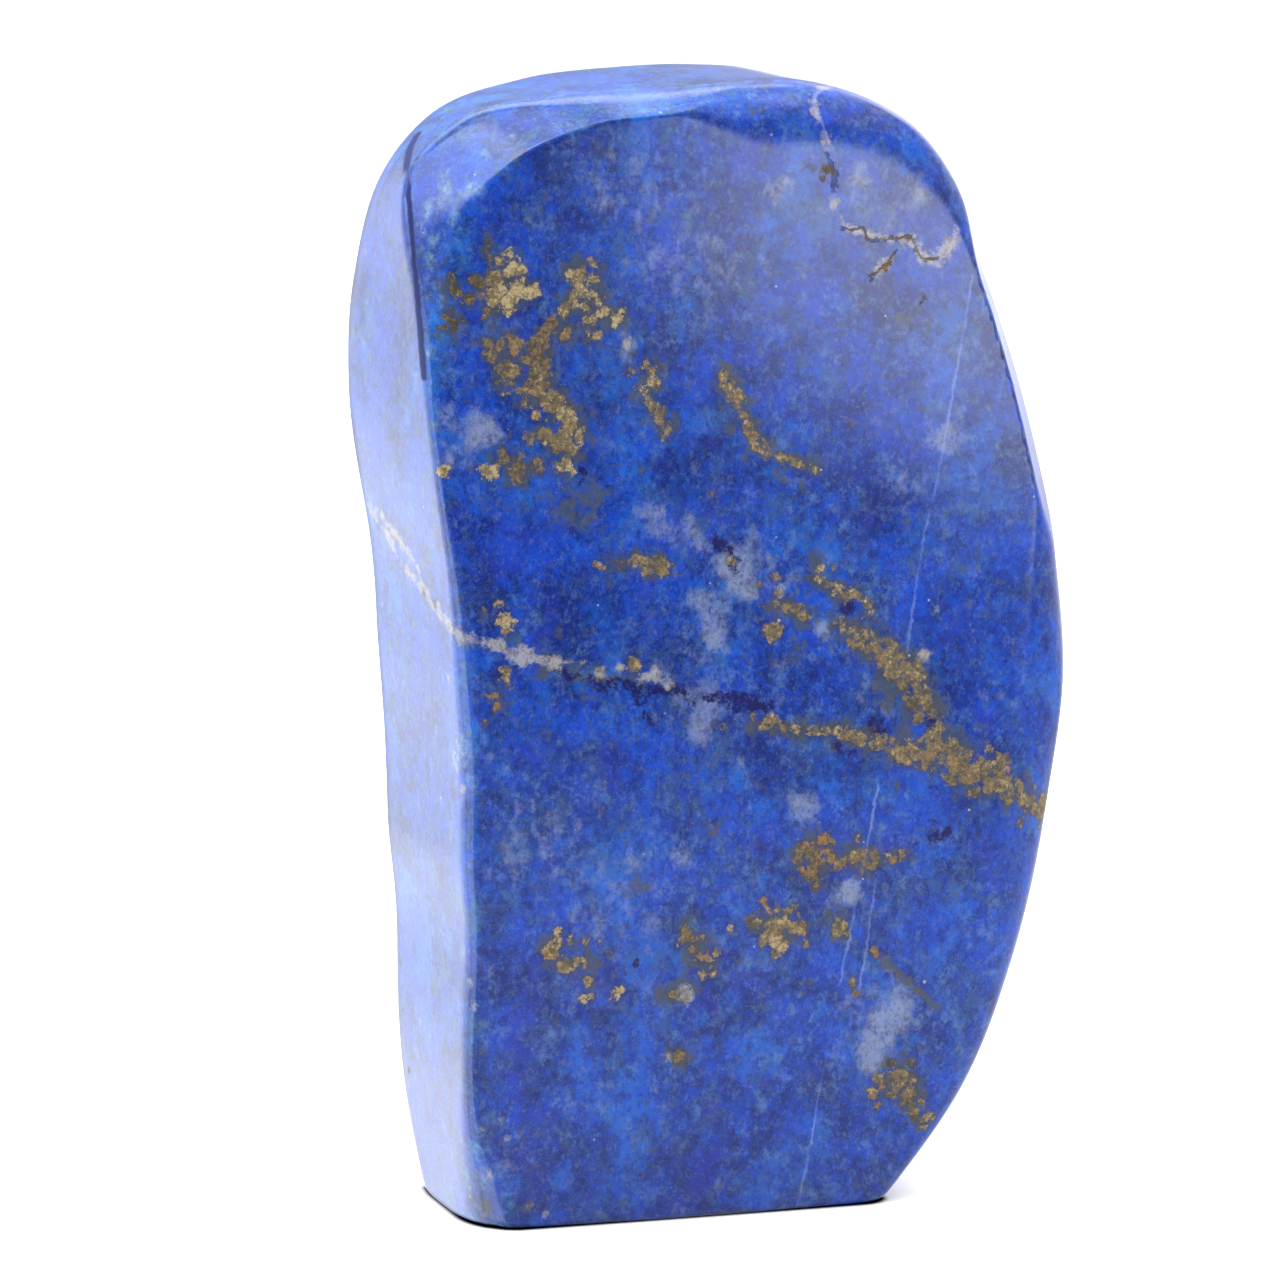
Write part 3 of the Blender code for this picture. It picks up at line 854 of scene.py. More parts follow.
# at the right edge the sheet takes over from the front's vein sooner
behind = np.clip((y + 12.0 + np.clip(x - 27.0, 0, 6) * 1.6) / 4.0, 0.0, 1.0)
swell = 0.5 + 0.5 * np.sin(x * 0.43 + 1.0) * np.sin(x * 0.171 + y * 0.23)
NO_SHEET = 6.0
sheet_calcite = sheet - 0.9 * swell + NO_SHEET * (1 - behind) + np.clip(x - 2.0, 0, 8) * 0.5
sheet_pyrite = sheet - 1.9 * swell + NO_SHEET * (1 - behind) + np.clip(4.0 - x, 0, 12) * 0.5
calcite = np.minimum(from_path(skin, laid(CALCITE_PATH)), from_path(skin, laid(LEFT_SIDE_PATH)))
for filling in (CRACK_FILLING, BRANCH_FILLING):
    calcite = np.minimum(calcite, from_path(skin, laid(filling)))
# the pale crumbs include one painted glint
calcite = np.minimum(np.minimum(calcite, from_spots(skin, laid(PALE_CRUMBS_AND_GLINT))), sheet_calcite)
indigo = np.minimum(from_path(skin, laid(INDIGO_PATH)), from_path(skin, laid(INDIGO_SPUR)))
indigo = np.minimum(indigo, from_spots(skin, laid(INDIGO_SPOTS)))
store("calcite", calcite)
store("indigo", indigo)

# %% Pyrite's distance, lightness and rust
BLEND_MM = 0.35
BAND_DEPTH_MM = 0.25
pyrite = np.minimum(from_spots(skin, grains), sheet_pyrite)
weight = np.full(len(skin), 1e-6)
light_sum = weight * 0.45
rust_sum = weight * 0.2


def pull_towards(away, light, rust):
    """Draws the points' tone towards a grain's or a band's, more strongly the nearer it is."""
    pull = np.exp(np.clip(-away / BLEND_MM, -30, 8))
    np.add(weight, pull, out=weight)
    np.add(light_sum, pull * light, out=light_sum)
    np.add(rust_sum, pull * rust, out=rust_sum)


for grain, light, rust in zip(grains, grain_light, grain_rust):
    pull_towards(np.linalg.norm(skin - grain[:3], axis=1) - grain[3], light, rust)
from_bands = np.full(len(skin), FAR_MM)
for rows, thinly, light, rust in BANDS:
    away = from_path(skin, laid(rows))
    from_bands = np.minimum(from_bands, away)
    pyrite = np.minimum(pyrite, np.maximum(away, -BAND_DEPTH_MM) + thinly)
    pull_towards(away, light, rust)
store("pyrite", pyrite)
store("pyrite_light", light_sum / weight)
store("pyrite_rust", rust_sum / weight)

# %% [markdown]
# Round the heaps the blue is stained olive, and elsewhere calcite and diopside cloud it. Some of the pale and deep
# patches, and a lighter tint on the left side and top, are painted light and painted shade instead. These patches have
# soft edges, so a share from 0 to 1 is stored instead of a distance.

# %% Stains, clouds, and painted light and shade
OLIVE_PATCHES = [
    (476, 284, 22), (462, 300, 20), (453, 320, 18), (488, 246, 10), (486, 314, 14), (515, 352, 24), (520, 376, 22),
    (532, 396, 18), (560, 422, 22), (560, 447, 20), (522, 466, 20), (505, 462, 14), (590, 300, 22),
    (586, 322, 18), (602, 322, 16), (562, 302, 14), (640, 398, 12), (650, 385, 14), (656, 420, 12), (724, 402, 13),
    (735, 426, 13), (745, 450, 12), (716, 388, 12), (782, 474, 11), (802, 480, 10), (572, 505, 20),
    (584, 514, 18), (558, 492, 14), (592, 496, 16), (614, 562, 14), (632, 560, 13), (590, 968, 16),
    (575, 950, 18), (600, 986, 13), (700, 956, 18), (705, 940, 14), (755, 922, 14), (800, 852, 18),
    (815, 886, 13), (860, 866, 20), (882, 862, 14), (900, 702, 20), (924, 712, 20), (880, 690, 14),
    (860, 655, 16), (905, 728, 18), (850, 726, 12), (940, 760, 22), (975, 772, 22), (1010, 786, 20),
    (887, 963, 8), (897, 973, 8), (909, 983, 7), (921, 993, 6), (936, 1004, 6), (880, 957, 7), (853, 985, 10),
    (904, 1090, 22), (890, 1070, 18), (800, 612, 18), (835, 640, 14), (640, 887, 14), (713, 822, 14),
    (500, 700, 18), (506, 640, 16), (678, 1054, 14), (686, 985, 14), (827, 172, 12), (905, 318, 12),
    (545, 664, 16), (575, 672, 16), (600, 676, 16), (625, 672, 14), (645, 680, 12), (800, 655, 14),
    (400, 955, 7), (403, 985, 7), (418, 1070, 7), (432, 1085, 8), (440, 1096, 6), (480, 1205, 14), (525, 1205, 10),
]
# a dark thread over the pale cloud at the lower right
DARK_THREAD = [(872, 951, 1), (884, 963, 2), (897, 971, 1), (909, 984, 2), (922, 993, 1), (938, 1007, 1)]
PALE_PATCHES = [
    (899, 998, 24), (881, 1028, 26), (872, 1049, 24), (891, 1014, 24), (870, 1066, 14), (842, 898, 16),
    (854, 889, 14), (805, 812, 20), (800, 798, 16), (885, 705, 13), (823, 628, 16), (732, 560, 28), (746, 590, 24),
    (702, 612, 26), (722, 642, 22), (705, 712, 20), (698, 732, 16), (690, 540, 22), (652, 520, 22), (627, 345, 16),
    (478, 430, 24), (495, 437, 12), (455, 452, 18), (850, 892, 16), (780, 190, 18), (860, 170, 22), (920, 196, 14),
    (550, 875, 18), (680, 857, 16), (900, 480, 24), (950, 440, 24), (470, 190, 14), (860, 700, 10), (925, 655, 9),
    (440, 200, 20), (436, 214, 14), (452, 212, 12),
]
BROAD_PALE_AND_PAINTED_LIGHT_PATCHES = [
    # partly painted light: this first row, over the top of the front, also stands in for the pale haze that the
    # softbox's reflection lays there
    (705, 260, 60), (870, 190, 60), (640, 200, 50), (600, 180, 40), (445, 190, 30),
    (750, 580, 60), (540, 850, 50), (700, 700, 45), (880, 1010, 60), (480, 1170, 45), (460, 760, 40), (620, 900, 60),
    # painted light: this row paints the slim band paler where it faces the lights
    (427, 235, 14), (429, 262, 14), (431, 290, 14), (434, 320, 14), (437, 350, 14), (440, 380, 14), (446, 415, 16),
]
BROAD_SHARE = 0.6
PALE_HEARTS = [
    (878, 1040, 20), (872, 1056, 16), (886, 1020, 18), (897, 1003, 14), (734, 564, 18), (745, 585, 16), (805, 806, 14),
    (480, 432, 16), (846, 894, 12), (823, 628, 10), (712, 636, 14), (661, 676, 14),
]
HEART_SHARE = 0.8
PURE_BLUE_AND_PAINTED_SHADE_PATCHES = [
    # painted shade: the dark band under the bevel and along the top edge, where the polish shows a dark part of the
    # room, painted as deep clean blue
    (480, 236, 18), (505, 200, 18), (545, 168, 22), (590, 142, 16), (650, 122, 14), (700, 112, 14), (760, 108, 14),
    (820, 112, 14), (880, 125, 16), (915, 150, 14), (937, 182, 12),
    # upper half
    (600, 215, 22), (690, 485, 26), (640, 470, 18), (840, 420, 24), (860, 470, 20), (760, 480, 22), (880, 540, 38),
    (930, 600, 40), (960, 640, 36), (1010, 560, 30), (1010, 640, 36), (985, 700, 24), (560, 565, 44), (500, 545, 36),
    (500, 590, 24), (600, 612, 28), (560, 630, 24), (770, 645, 34), (722, 630, 16), (830, 682, 24), (800, 690, 18),
    # lower half
    (560, 738, 28), (620, 760, 22), (762, 768, 18), (842, 772, 28), (932, 812, 24), (980, 842, 26), (600, 825, 30),
    (480, 862, 20), (520, 1012, 24), (700, 1168, 30), (640, 1100, 22), (790, 1122, 28), (850, 1120, 22),
    (580, 1080, 22), (530, 1112, 18), (780, 880, 16), (900, 1150, 14),
]
AZURE_PATCHES = [
    (440, 330, 26), (430, 380, 24), (455, 440, 22), (445, 482, 16), (620, 250, 20), (592, 238, 12), (642, 262, 18),
    (690, 300, 18), (640, 340, 14), (620, 450, 16), (650, 420, 12), (700, 420, 22), (742, 440, 16), (800, 130, 26),
    (842, 150, 16), (860, 202, 14), (800, 430, 14), (852, 500, 12), (900, 422, 20), (940, 400, 24), (900, 470, 18),
    (950, 482, 24), (980, 430, 20), (1000, 500, 20), (922, 520, 12), (770, 540, 24), (802, 520, 18), (790, 580, 18),
    (622, 640, 14), (640, 610, 12), (610, 722, 14), (642, 720, 12), (690, 732, 14), (480, 740, 22), (500, 770, 14),
    (760, 810, 18), (780, 780, 12), (590, 860, 18), (560, 850, 14), (620, 892, 16), (890, 890, 18), (940, 850, 26),
    (960, 902, 28), (930, 960, 24), (970, 950, 22), (900, 930, 14), (730, 1000, 14), (760, 1040, 18), (700, 1020, 14),
    (560, 1040, 14), (620, 1020, 14), (600, 1000, 12), (820, 1010, 14), (842, 1060, 14), (480, 1150, 18),
    (510, 1180, 16), (560, 1180, 16), (600, 1198, 12), (642, 1190, 12), (740, 1130, 12), (760, 1188, 14),
]


def share(rows):
    """How much of soft round patches each point of the skin has, 0 to 1."""
    patches = laid(rows)
    left = np.ones(len(skin))
    for patch in patches:
        near = np.clip(1.25 - 0.85 * np.linalg.norm(skin - patch[:3], axis=1) / patch[3], 0.0, 1.0)
        left *= 1 - near * near * (3 - 2 * near)
    return 1 - left


from_hidden = from_spots(skin, hidden_rows + [0.0, 0.0, 0.0, 0.6])
hidden_stain = np.clip(1 - from_hidden / 1.2, 0, 1)
band_stain = np.clip(0.9 - from_bands / 1.7, 0, 1)
band_stain = np.maximum(band_stain, np.clip(1.2 - from_path(skin, laid(DARK_THREAD)) / 0.5, 0, 1.2))
olive = np.maximum(share(OLIVE_PATCHES) * 0.75, np.maximum(hidden_stain * 0.7, band_stain))
store("olive", np.maximum(olive, np.clip(0.8 - sheet_pyrite / 0.9, 0, 1)))
pale = np.maximum(share(PALE_PATCHES), share(BROAD_PALE_AND_PAINTED_LIGHT_PATCHES) * BROAD_SHARE)
store("pale", pale + share(PALE_HEARTS) * HEART_SHARE)
store("pure", share(PURE_BLUE_AND_PAINTED_SHADE_PATCHES))
store("azure", share(AZURE_PATCHES))
# painted light: faces turned to the left and up are painted lighter and greener, as the light falls on them; less so
# high up on the left face, and only on the left of the top
out_x, out_y, out_z = facing_out(skin).T
on_left = np.clip((-out_x - 0.25) / 0.3, 0, 1)
left_face = on_left * np.clip((out_y + 0.6) / 0.3, 0, 1)
on_left -= left_face * 0.55 * np.clip((skin[:, 2] - 76) / 20, 0, 1)
on_top = np.clip((out_z - 0.25) / 0.35, 0, 1) * np.clip((12 - skin[:, 0]) / 12, 0, 1)
store("painted_light", np.maximum(on_left, on_top))

# %% Cracks
CRACK = [
    (846, 228, 1), (855, 228, 1), (864, 229, 1), (867, 235, 1), (871, 242, 1), (881, 239, 1), (890, 239, 1),
    (901, 239, 1), (910, 236, 1), (915, 244, 1), (917, 253, 1), (922, 259, 1), (933, 260, 1),
]
CRACK_BRANCH = [(893, 256, 1), (888, 264, 1), (880, 270, 1), (873, 276, 1)]
CRACK_SPOT = [(829, 158, 1), (833, 165, 1), (834, 176, 1), (834, 186, 1)]
CRACK_TOP = [(832, 84, 1), (821, 90, 1), (815, 96, 1), (813, 102, 1), (816, 112, 1), (822, 124, 1), (828, 140, 1)]
CRACK_LINK = [(834, 192, 1), (835, 205, 1), (840, 214, 1), (846, 228, 1)]
HEALED_UPPER = [
    (971, 280, 1), (965, 328, 1), (957, 368, 1), (948, 421, 1), (940, 465, 1), (925, 533, 1), (919, 567, 1),
    (911, 620, 1), (907, 648, 1),
]
HEALED_LOWER = [
    (877, 790, 1), (872, 820, 1), (856, 902, 1), (846, 953, 1), (836, 1000, 1), (828, 1048, 1), (817, 1102, 1),
    (808, 1158, 1), (795, 1208, 1),
]
HEALED_SIDE = [(875, 880, 1), (870, 920, 1), (866, 950, 1), (860, 985, 1)]
# painted shade: a dark line drawn along the crease at the left edge of the slim band
CREASE_SHADE_LINE = [(417, 135, 1), (410, 148, 1), (407, 165, 1), (408, 195, 1), (411, 222, 1), (414, 260, 1), (418, 300, 1),
        (421, 340, 1), (424, 375, 1)]
FRONT_OUT = np.array([0.0, -1.0, 0.0])
LINES = {
    "crack": (CRACK, CRACK_BRANCH, CRACK_SPOT),
    "healed": (CRACK_TOP, CRACK_LINK, HEALED_UPPER, HEALED_LOWER, HEALED_SIDE),
    "crease_shade": (CREASE_SHADE_LINE,),
}
for name, paths in LINES.items():
    offset, near = np.full(len(skin), FAR_MM), np.full(len(skin), FAR_MM)
    for path in paths:
        path_offset, path_near = beside_path(skin, laid(path), FRONT_OUT)
        offset = np.where(path_near < near, path_offset, offset)
        near = np.minimum(near, path_near)
    store(name + "_offset", offset)
    store(name + "_near", near)

# %% [markdown]
# ## Lapis
#
# Lapis lazuli is a rock, not one mineral: ultramarine lazurite, clouded with grey diopside and white calcite
# in flecks of every size from a fingertip down to a grain of salt. So the blue is built from noises that have
# about as much strength at each size. One noise sets how deep the blue is and another how grey, because in the
# stone the two don't go together.
#
# All patterns read the object's own coordinates, in mm, so they run through the stone as its minerals do.

# %% Helpers for building materials
def place(tree, kind, inputs=None, **settings):
    """Adds a node and fills its inputs with values or with other nodes' outputs."""
    node = tree.nodes.new(kind)
    for name, value in settings.items():
        setattr(node, name, value)
    for name, value in (inputs or {}).items():
        if isinstance(value, bpy.types.NodeSocket):
            tree.links.new(value, node.inputs[name])
        else:
            node.inputs[name].default_value = value
    return node


def math_of(tree, operation, a, b=0.0):
    return place(tree, "ShaderNodeMath", {0: a, 1: b}, operation=operation).outputs[0]


def scaled_onto(tree, value, scale, base):
    """Base plus the value times the scale."""
    return place(tree, "ShaderNodeMath", {0: value, 1: scale, 2: base}, operation="MULTIPLY_ADD").outputs[0]


def noise_of(tree, where, scale, detail=0.0, evenness=0.5, twist=0.0):
    """Noise from 0 to 1 with so many features per mm. Evenness 1 gives every size the same strength."""
    inputs = {"Vector": where, "Scale": scale, "Detail": detail, "Roughness": evenness, "Distortion": twist}
    return place(tree, "ShaderNodeTexNoise", inputs).outputs["Fac"]


def between(tree, value, low, high, at_low=0.0, at_high=1.0):
    """Eases from one value to another as the input goes from low to high."""
    inputs = {"Value": value, "From Min": low, "From Max": high, "To Min": at_low, "To Max": at_high}
    return place(tree, "ShaderNodeMapRange", inputs, interpolation_type="SMOOTHSTEP").outputs["Result"]


def mixed(tree, share_of_b, a, b):
    node = place(tree, "ShaderNodeMix", {0: share_of_b, 6: a, 7: b}, data_type="RGBA")
    return node.outputs[2]


def new_group(name, inputs, outputs):
    """A shader node group with these sockets. Returns it with its inner input and output nodes."""
    group = bpy.data.node_groups.new(name, "ShaderNodeTree")
    for title, kind in inputs.items():
        group.interface.new_socket(name=title, in_out="INPUT", socket_type=kind)
    for title, kind in outputs.items():
        group.interface.new_socket(name=title, in_out="OUTPUT", socket_type=kind)
    return group, group.nodes.new("NodeGroupInput"), group.nodes.new("NodeGroupOutput")


# %% Cloudy blue
DEEP_BLUE = (0.003, 0.012, 0.095, 1)
BRIGHT_BLUE = (0.004, 0.040, 0.330, 1)
GREY_BLUE = (0.022, 0.055, 0.150, 1)
AZURE = (0.008, 0.085, 0.380, 1)
VIOLET_BLUE = (0.012, 0.022, 0.270, 1)
PALE_BLUE = (0.160, 0.188, 0.275, 1)
CLOUD_BLUE = (0.026, 0.082, 0.230, 1)
SALT_GREY = (0.050, 0.088, 0.200, 1)
PEPPER_BLUE = (0.004, 0.008, 0.060, 1)
BLOTCH_GREY = (0.062, 0.128, 0.285, 1)
HOLLOW_BLUE = (0.003, 0.010, 0.120, 1)

cloudy_blue, given, out = new_group(
    "cloudy_blue",
    {
        "Place": "NodeSocketVector",
        "Pale": "NodeSocketFloat",
        "Pure": "NodeSocketFloat",
        "Azure": "NodeSocketFloat",
        "Calm": "NodeSocketFloat",
    },
    {"Colour": "NodeSocketColor"},
)
drawn_out = place(cloudy_blue, "ShaderNodeMapping", {"Vector": given.outputs["Place"], "Scale": (1.0, 1.0, 0.85)})
where = drawn_out.outputs["Vector"]
depth = between(cloudy_blue, noise_of(cloudy_blue, where, 0.12, 6.0, 0.9), 0.38, 0.62)
grey = between(cloudy_blue, noise_of(cloudy_blue, where, 0.30, 5.0, 0.9, 0.3), 0.48, 0.64)
hue = noise_of(cloudy_blue, where, 0.11, 4.0, 0.75)
azure = between(cloudy_blue, hue, 0.52, 0.66)
violet = between(cloudy_blue, hue, 0.47, 0.34)
colour = mixed(cloudy_blue, depth, DEEP_BLUE, BRIGHT_BLUE)
ragged = math_of(cloudy_blue, "SUBTRACT", noise_of(cloudy_blue, where, 0.35, 5.0, 0.85), 0.5)
pure = between(cloudy_blue, scaled_onto(cloudy_blue, ragged, -3.0, given.outputs["Pure"]), 0.1, 1.0, 0.0, 0.85)
cloudiness = math_of(cloudy_blue, "SUBTRACT", 1.0, pure)
azure_spots = scaled_onto(cloudy_blue, ragged, 5.0, given.outputs["Azure"])
azure = math_of(cloudy_blue, "MAXIMUM", azure, between(cloudy_blue, azure_spots, 0.4, 1.5))
colour = mixed(cloudy_blue, math_of(cloudy_blue, "MULTIPLY", azure, 0.60), colour, AZURE)
colour = mixed(cloudy_blue, math_of(cloudy_blue, "MULTIPLY", violet, 0.50), colour, VIOLET_BLUE)
grey = math_of(cloudy_blue, "MULTIPLY", grey, math_of(cloudy_blue, "MULTIPLY", cloudiness, 0.70))
colour = mixed(cloudy_blue, grey, colour, GREY_BLUE)
cloud = between(cloudy_blue, noise_of(cloudy_blue, where, 0.16, 5.0, 0.85), 0.55, 0.70, 0.0, 0.45)
colour = mixed(cloudy_blue, math_of(cloudy_blue, "MULTIPLY", cloud, cloudiness), colour, CLOUD_BLUE)
lumpy = math_of(cloudy_blue, "SUBTRACT", noise_of(cloudy_blue, where, 0.5, 4.0, 0.7), 0.5)
pale = scaled_onto(cloudy_blue, lumpy, 4.5, given.outputs["Pale"])
pale = between(cloudy_blue, pale, 0.25, 1.9, 0.0, 0.75)
colour = mixed(cloudy_blue, pale, colour, PALE_BLUE)
# the painted light on the left side and top also weakens the blotches and hollows, as if washed out by light
lively = scaled_onto(cloudy_blue, given.outputs["Calm"], -0.75, 1.0)
busy = between(cloudy_blue, noise_of(cloudy_blue, where, 0.07, 2.0, 0.6), 0.36, 0.60, 0.35, 1.0)
busy = math_of(cloudy_blue, "MULTIPLY", math_of(cloudy_blue, "MULTIPLY", busy, cloudiness), lively)
blotch = between(cloudy_blue, noise_of(cloudy_blue, where, 0.65, 4.0, 0.75), 0.50, 0.68, 0.0, 0.55)
colour = mixed(cloudy_blue, math_of(cloudy_blue, "MULTIPLY", blotch, busy), colour, BLOTCH_GREY)
hollow = between(cloudy_blue, noise_of(cloudy_blue, where, 0.8, 4.0, 0.75), 0.49, 0.34, 0.0, 0.55)
colour = mixed(cloudy_blue, math_of(cloudy_blue, "MULTIPLY", hollow, lively), colour, HOLLOW_BLUE)
salt = between(cloudy_blue, noise_of(cloudy_blue, where, 1.5, 3.0, 0.85), 0.52, 0.68, 0.0, 0.50)
colour = mixed(cloudy_blue, salt, colour, SALT_GREY)
pepper = between(cloudy_blue, noise_of(cloudy_blue, where, 1.8, 3.0, 0.85), 0.48, 0.34, 0.0, 0.45)
colour = mixed(cloudy_blue, pepper, colour, PEPPER_BLUE)
cloudy_blue.links.new(colour, out.inputs["Colour"])
print("cloudy blue:", len(cloudy_blue.nodes), "nodes")

# %% [markdown]
# ## Pyrite
#
# A heap of pyrite is many grains grown into each other. The stored distance gives the heap its outline, a noise
# makes that outline ragged, and a Voronoi pattern cuts it into grains of about a millimetre, each of its own
# tone, with dark seams between them. Just outside the grains the blue is stained dark.

# %% Pyrite grains
BROWN_PYRITE = (0.040, 0.034, 0.024, 1)
BRASS_PYRITE = (0.112, 0.084, 0.046, 1)
PALE_PYRITE = (0.310, 0.245, 0.130, 1)
RUST_PYRITE = (0.205, 0.098, 0.027, 1)

pyrite_grains, given, out = new_group(
    "pyrite_grains",
    {
        "Place": "NodeSocketVector",
        "Distance": "NodeSocketFloat",
        "Lightness": "NodeSocketFloat",
        "Rust": "NodeSocketFloat",
    },
    {
        "Share": "NodeSocketFloat",
        "Stain": "NodeSocketFloat",
        "Colour": "NodeSocketColor",
    },
)
where = given.outputs["Place"]
wobble = place(pyrite_grains, "ShaderNodeTexNoise", {"Vector": where, "Scale": 0.9, "Detail": 4.0})
bent = place(
    pyrite_grains,
    "ShaderNodeVectorMath",
    {0: wobble.outputs["Color"], 1: (0.9, 0.9, 0.9), 2: where},
    operation="MULTIPLY_ADD",
).outputs[0]
cells = place(pyrite_grains, "ShaderNodeTexVoronoi", {"Vector": bent, "Scale": 1.05, "Randomness": 1.0})
cell_tone = place(pyrite_grains, "ShaderNodeSeparateColor", {"Color": cells.outputs["Color"]})
RAGGED_MM = 2.6
GRAIN_MM = 0.60
ragged = math_of(pyrite_grains, "SUBTRACT", noise_of(pyrite_grains, where, 0.85, 5.0, 0.85), 0.5)
distance = scaled_onto(pyrite_grains, ragged, RAGGED_MM, given.outputs["Distance"])
round_grain = math_of(pyrite_grains, "SUBTRACT", cells.outputs["Distance"], 0.52)
distance = scaled_onto(pyrite_grains, round_grain, GRAIN_MM, distance)
share_of_grains = between(pyrite_grains, distance, 0.12, -0.14)
pyrite_grains.links.new(share_of_grains, out.inputs["Share"])
pyrite_grains.links.new(between(pyrite_grains, distance, 0.60, -0.1), out.inputs["Stain"])
speckle = noise_of(pyrite_grains, where, 2.6, 3.0, 0.75)
tone = scaled_onto(pyrite_grains, cell_tone.outputs["Red"], 0.34, given.outputs["Lightness"])
tone = math_of(pyrite_grains, "SUBTRACT", scaled_onto(pyrite_grains, speckle, 3.2, tone), 1.74)
at_rim = between(pyrite_grains, cells.outputs["Distance"], 0.42, 0.78)
tone = scaled_onto(pyrite_grains, at_rim, -0.3, tone)
colour = mixed(pyrite_grains, between(pyrite_grains, tone, -0.05, 0.62), BROWN_PYRITE, BRASS_PYRITE)
colour = mixed(pyrite_grains, between(pyrite_grains, tone, 0.58, 1.25), colour, PALE_PYRITE)
rust = math_of(pyrite_grains, "MULTIPLY", given.outputs["Rust"], between(pyrite_grains, tone, 0.1, 0.7))
rust = math_of(pyrite_grains, "MULTIPLY", rust, between(pyrite_grains, cell_tone.outputs["Blue"], 0.1, 0.9))
colour = mixed(pyrite_grains, rust, colour, RUST_PYRITE)
pyrite_grains.links.new(colour, out.inputs["Colour"])
print("pyrite grains:", len(pyrite_grains.nodes), "nodes")

# %% [markdown]
# Calcite, indigo and the cracks need only a share each: a ragged edge round a stored distance for the first two, and a
# hair line where the stored offset passes zero for the cracks. The same hair line draws the painted shade along the
# slim band's crease.

# %% Ragged edge
ragged_edge, given, out = new_group(
    "ragged_edge",
    {
        "Place": "NodeSocketVector",
        "Distance": "NodeSocketFloat",
        "Raggedness": "NodeSocketFloat",
        "Softness": "NodeSocketFloat",
    },
    {"Share": "NodeSocketFloat"},
)
ragged = noise_of(ragged_edge, given.outputs["Place"], 0.5, 5.0, 0.75)
ragged = math_of(ragged_edge, "SUBTRACT", ragged, 0.5)
ragged = math_of(ragged_edge, "MULTIPLY", ragged, given.outputs["Raggedness"])
distance = math_of(ragged_edge, "ADD", given.outputs["Distance"], ragged)
softness = given.outputs["Softness"]
edge = between(ragged_edge, distance, softness, math_of(ragged_edge, "MULTIPLY", softness, -1.0))
ragged_edge.links.new(edge, out.inputs["Share"])

# %% Hair line
hair_line, given, out = new_group(
    "hair_line",
    {
        "Place": "NodeSocketVector",
        "Offset": "NodeSocketFloat",
        "Near": "NodeSocketFloat",
        "Half width": "NodeSocketFloat",
        "Wander": "NodeSocketFloat",
    },
    {"Share": "NodeSocketFloat"},
)
wander = math_of(hair_line, "SUBTRACT", noise_of(hair_line, given.outputs["Place"], 0.8, 3.0, 0.7), 0.5)
wander = math_of(hair_line, "MULTIPLY", wander, given.outputs["Wander"])
offset = math_of(hair_line, "ABSOLUTE", math_of(hair_line, "ADD", given.outputs["Offset"], wander))
half = given.outputs["Half width"]
line = between(hair_line, offset, half, math_of(hair_line, "MULTIPLY", half, 0.35))
near = between(hair_line, given.outputs["Near"], 0.9, 0.4)
hair_line.links.new(math_of(hair_line, "MULTIPLY", line, near), out.inputs["Share"])

# %% White flecks
white_flecks, given, out = new_group(
    "white_flecks", {"Place": "NodeSocketVector"}, {"Share": "NodeSocketFloat"}
)
flecks = place(white_flecks, "ShaderNodeTexVoronoi", {"Vector": given.outputs["Place"], "Scale": 0.42})
size = place(white_flecks, "ShaderNodeSeparateColor", {"Color": flecks.outputs["Color"]}).outputs["Red"]
size = between(white_flecks, size, 0.72, 1.0, 0.0, 0.075)
fleck = between(white_flecks, math_of(white_flecks, "SUBTRACT", flecks.outputs["Distance"], size), 0.015, -0.015)
white_flecks.links.new(fleck, out.inputs["Share"])

# %% The lapis material
CALCITE = (0.250, 0.245, 0.240, 1)
CALCITE_GREY = (0.110, 0.110, 0.115, 1)
OCHRE = (0.200, 0.135, 0.060, 1)
INDIGO = (0.0040, 0.0035, 0.050, 1)
OLIVE = (0.034, 0.048, 0.062, 1)
UMBER = (0.048, 0.046, 0.036, 1)
GRAIN_STAIN = (0.018, 0.017, 0.026, 1)
CREAM = (0.400, 0.380, 0.330, 1)
CRACK_BROWN = (0.060, 0.040, 0.025, 1)
CREASE_SHADE_BLUE = (0.006, 0.012, 0.080, 1)
HEALED_BLUE = (0.180, 0.240, 0.520, 1)

lapis = bpy.data.materials.new("lapis")
lapis.use_nodes = True
tree = lapis.node_tree
shader = tree.nodes["Principled BSDF"]


def stored(name):
    """A number that the skin's points store."""
    return place(tree, "ShaderNodeAttribute", attribute_name=name).outputs["Fac"]


on_object = place(tree, "ShaderNodeTexCoord").outputs["Object"]
in_mm = place(tree, "ShaderNodeVectorMath", {0: on_object, "Scale": 1 / MM}, operation="SCALE").outputs[0]

blue_inputs = {
    "Place": in_mm,
    "Pale": stored("pale"),
    "Pure": stored("pure"),
    "Azure": stored("azure"),
    "Calm": stored("painted_light"),
}
colour = place(tree, "ShaderNodeGroup", blue_inputs, node_tree=cloudy_blue).outputs["Colour"]
# painted light: the left side and the top are tinted lighter and greener
PAINTED_LIGHT_TINT = (1.2, 1.65, 1.3, 1)
painted_lighter = place(
    tree, "ShaderNodeMix", {0: 1.0, 6: colour, 7: PAINTED_LIGHT_TINT}, data_type="RGBA", blend_type="MULTIPLY"
).outputs[2]
colour = mixed(tree, stored("painted_light"), colour, painted_lighter)
dirty = math_of(tree, "SUBTRACT", noise_of(tree, in_mm, 0.6, 4.0, 0.7), 0.5)
stain = between(tree, scaled_onto(tree, dirty, 4.5, stored("olive")), 0.30, 1.15, 0.0, 0.80)
browner = between(tree, noise_of(tree, in_mm, 0.8, 3.0, 0.6), 0.46, 0.60)
colour = mixed(tree, stain, colour, mixed(tree, browner, OLIVE, UMBER))


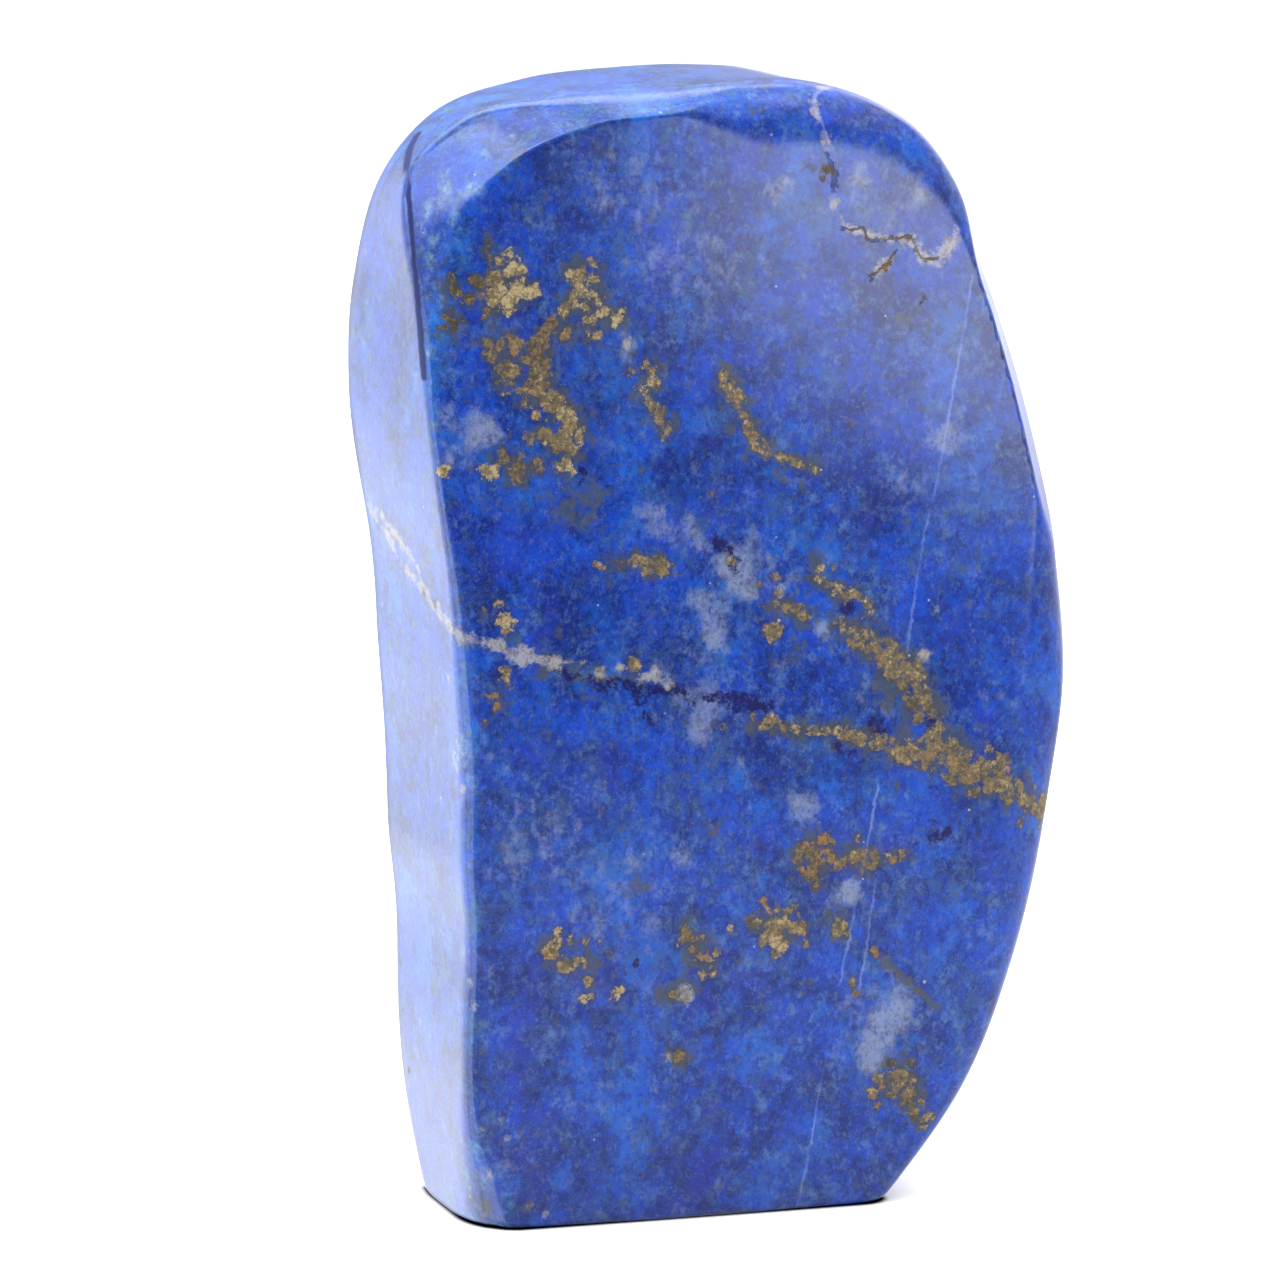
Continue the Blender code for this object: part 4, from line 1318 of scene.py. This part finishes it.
def ragged_share(name, raggedness, softness):
    inputs = {"Place": in_mm, "Distance": stored(name), "Raggedness": raggedness, "Softness": softness}
    return place(tree, "ShaderNodeGroup", inputs, node_tree=ragged_edge).outputs["Share"]


indigo_share = ragged_share("indigo", 4.4, 0.22)
calcite_share = ragged_share("calcite", 4.6, 0.35)
indigo_left = between(tree, noise_of(tree, in_mm, 1.1, 3.0, 0.8), 0.38, 0.54, 0.35, 0.95)
colour = mixed(tree, math_of(tree, "MULTIPLY", indigo_share, indigo_left), colour, INDIGO)
ochre = between(tree, noise_of(tree, in_mm, 0.45, 5.0, 0.9), 0.50, 0.64)
dirty_calcite = between(tree, noise_of(tree, in_mm, 0.9, 4.0, 0.9), 0.46, 0.60)
calcite_colour = mixed(tree, dirty_calcite, CALCITE, CALCITE_GREY)
calcite_colour = mixed(tree, ochre, calcite_colour, OCHRE)
colour = mixed(tree, math_of(tree, "MULTIPLY", calcite_share, 0.75), colour, calcite_colour)

grains_inputs = {
    "Place": in_mm,
    "Distance": stored("pyrite"),
    "Lightness": stored("pyrite_light"),
    "Rust": stored("pyrite_rust"),
}
pyrite_node = place(tree, "ShaderNodeGroup", grains_inputs, node_tree=pyrite_grains)
pyrite_share = pyrite_node.outputs["Share"]
colour = mixed(tree, math_of(tree, "MULTIPLY", pyrite_node.outputs["Stain"], 0.5), colour, GRAIN_STAIN)
colour = mixed(tree, pyrite_share, colour, pyrite_node.outputs["Colour"])

flecks = place(tree, "ShaderNodeGroup", {"Place": in_mm}, node_tree=white_flecks).outputs["Share"]
colour = mixed(tree, math_of(tree, "MULTIPLY", flecks, 0.5), colour, CREAM)


def line_share(name, half_width, wander):
    inputs = {
        "Place": in_mm,
        "Offset": stored(name + "_offset"),
        "Near": stored(name + "_near"),
        "Half width": half_width,
        "Wander": wander,
    }
    return place(tree, "ShaderNodeGroup", inputs, node_tree=hair_line).outputs["Share"]


healed_share = line_share("healed", 0.20, 0.9)
faint = between(tree, noise_of(tree, in_mm, 0.10, 4.0, 0.8), 0.38, 0.62, 0.03, 0.36)
colour = mixed(tree, math_of(tree, "MULTIPLY", healed_share, faint), colour, HEALED_BLUE)
# painted shade along the slim band's crease
crease_shade_share = line_share("crease_shade", 0.30, 0.3)
colour = mixed(tree, math_of(tree, "MULTIPLY", crease_shade_share, 0.95), colour, CREASE_SHADE_BLUE)
crack_share = line_share("crack", 0.24, 1.8)
broken = between(tree, noise_of(tree, in_mm, 0.7, 3.0, 0.6), 0.42, 0.56)
colour = mixed(tree, math_of(tree, "MULTIPLY", crack_share, broken), colour, CRACK_BROWN)
tree.links.new(colour, shader.inputs["Base Color"])

# %% The polish, and what takes it less well
smear = noise_of(tree, in_mm, 0.08, 4.0, 0.7)
roughness = between(tree, smear, 0.3, 0.7, 0.11, 0.17)
roughness = scaled_onto(tree, pyrite_share, 0.24, roughness)
roughness = scaled_onto(tree, crack_share, 0.3, roughness)
roughness = scaled_onto(tree, crease_shade_share, 0.7, roughness)
tree.links.new(roughness, shader.inputs["Roughness"])
tree.links.new(math_of(tree, "MULTIPLY", pyrite_share, 0.25), shader.inputs["Metallic"])
relief = scaled_onto(tree, crack_share, -1.0, math_of(tree, "MULTIPLY", pyrite_share, 0.25))
bump = place(tree, "ShaderNodeBump", {"Height": relief, "Strength": 0.35, "Distance": 0.0001})
tree.links.new(bump.outputs["Normal"], shader.inputs["Normal"])

stone.data.materials.clear()
stone.data.materials.append(lapis)
print("lapis:", len(tree.nodes), "nodes")
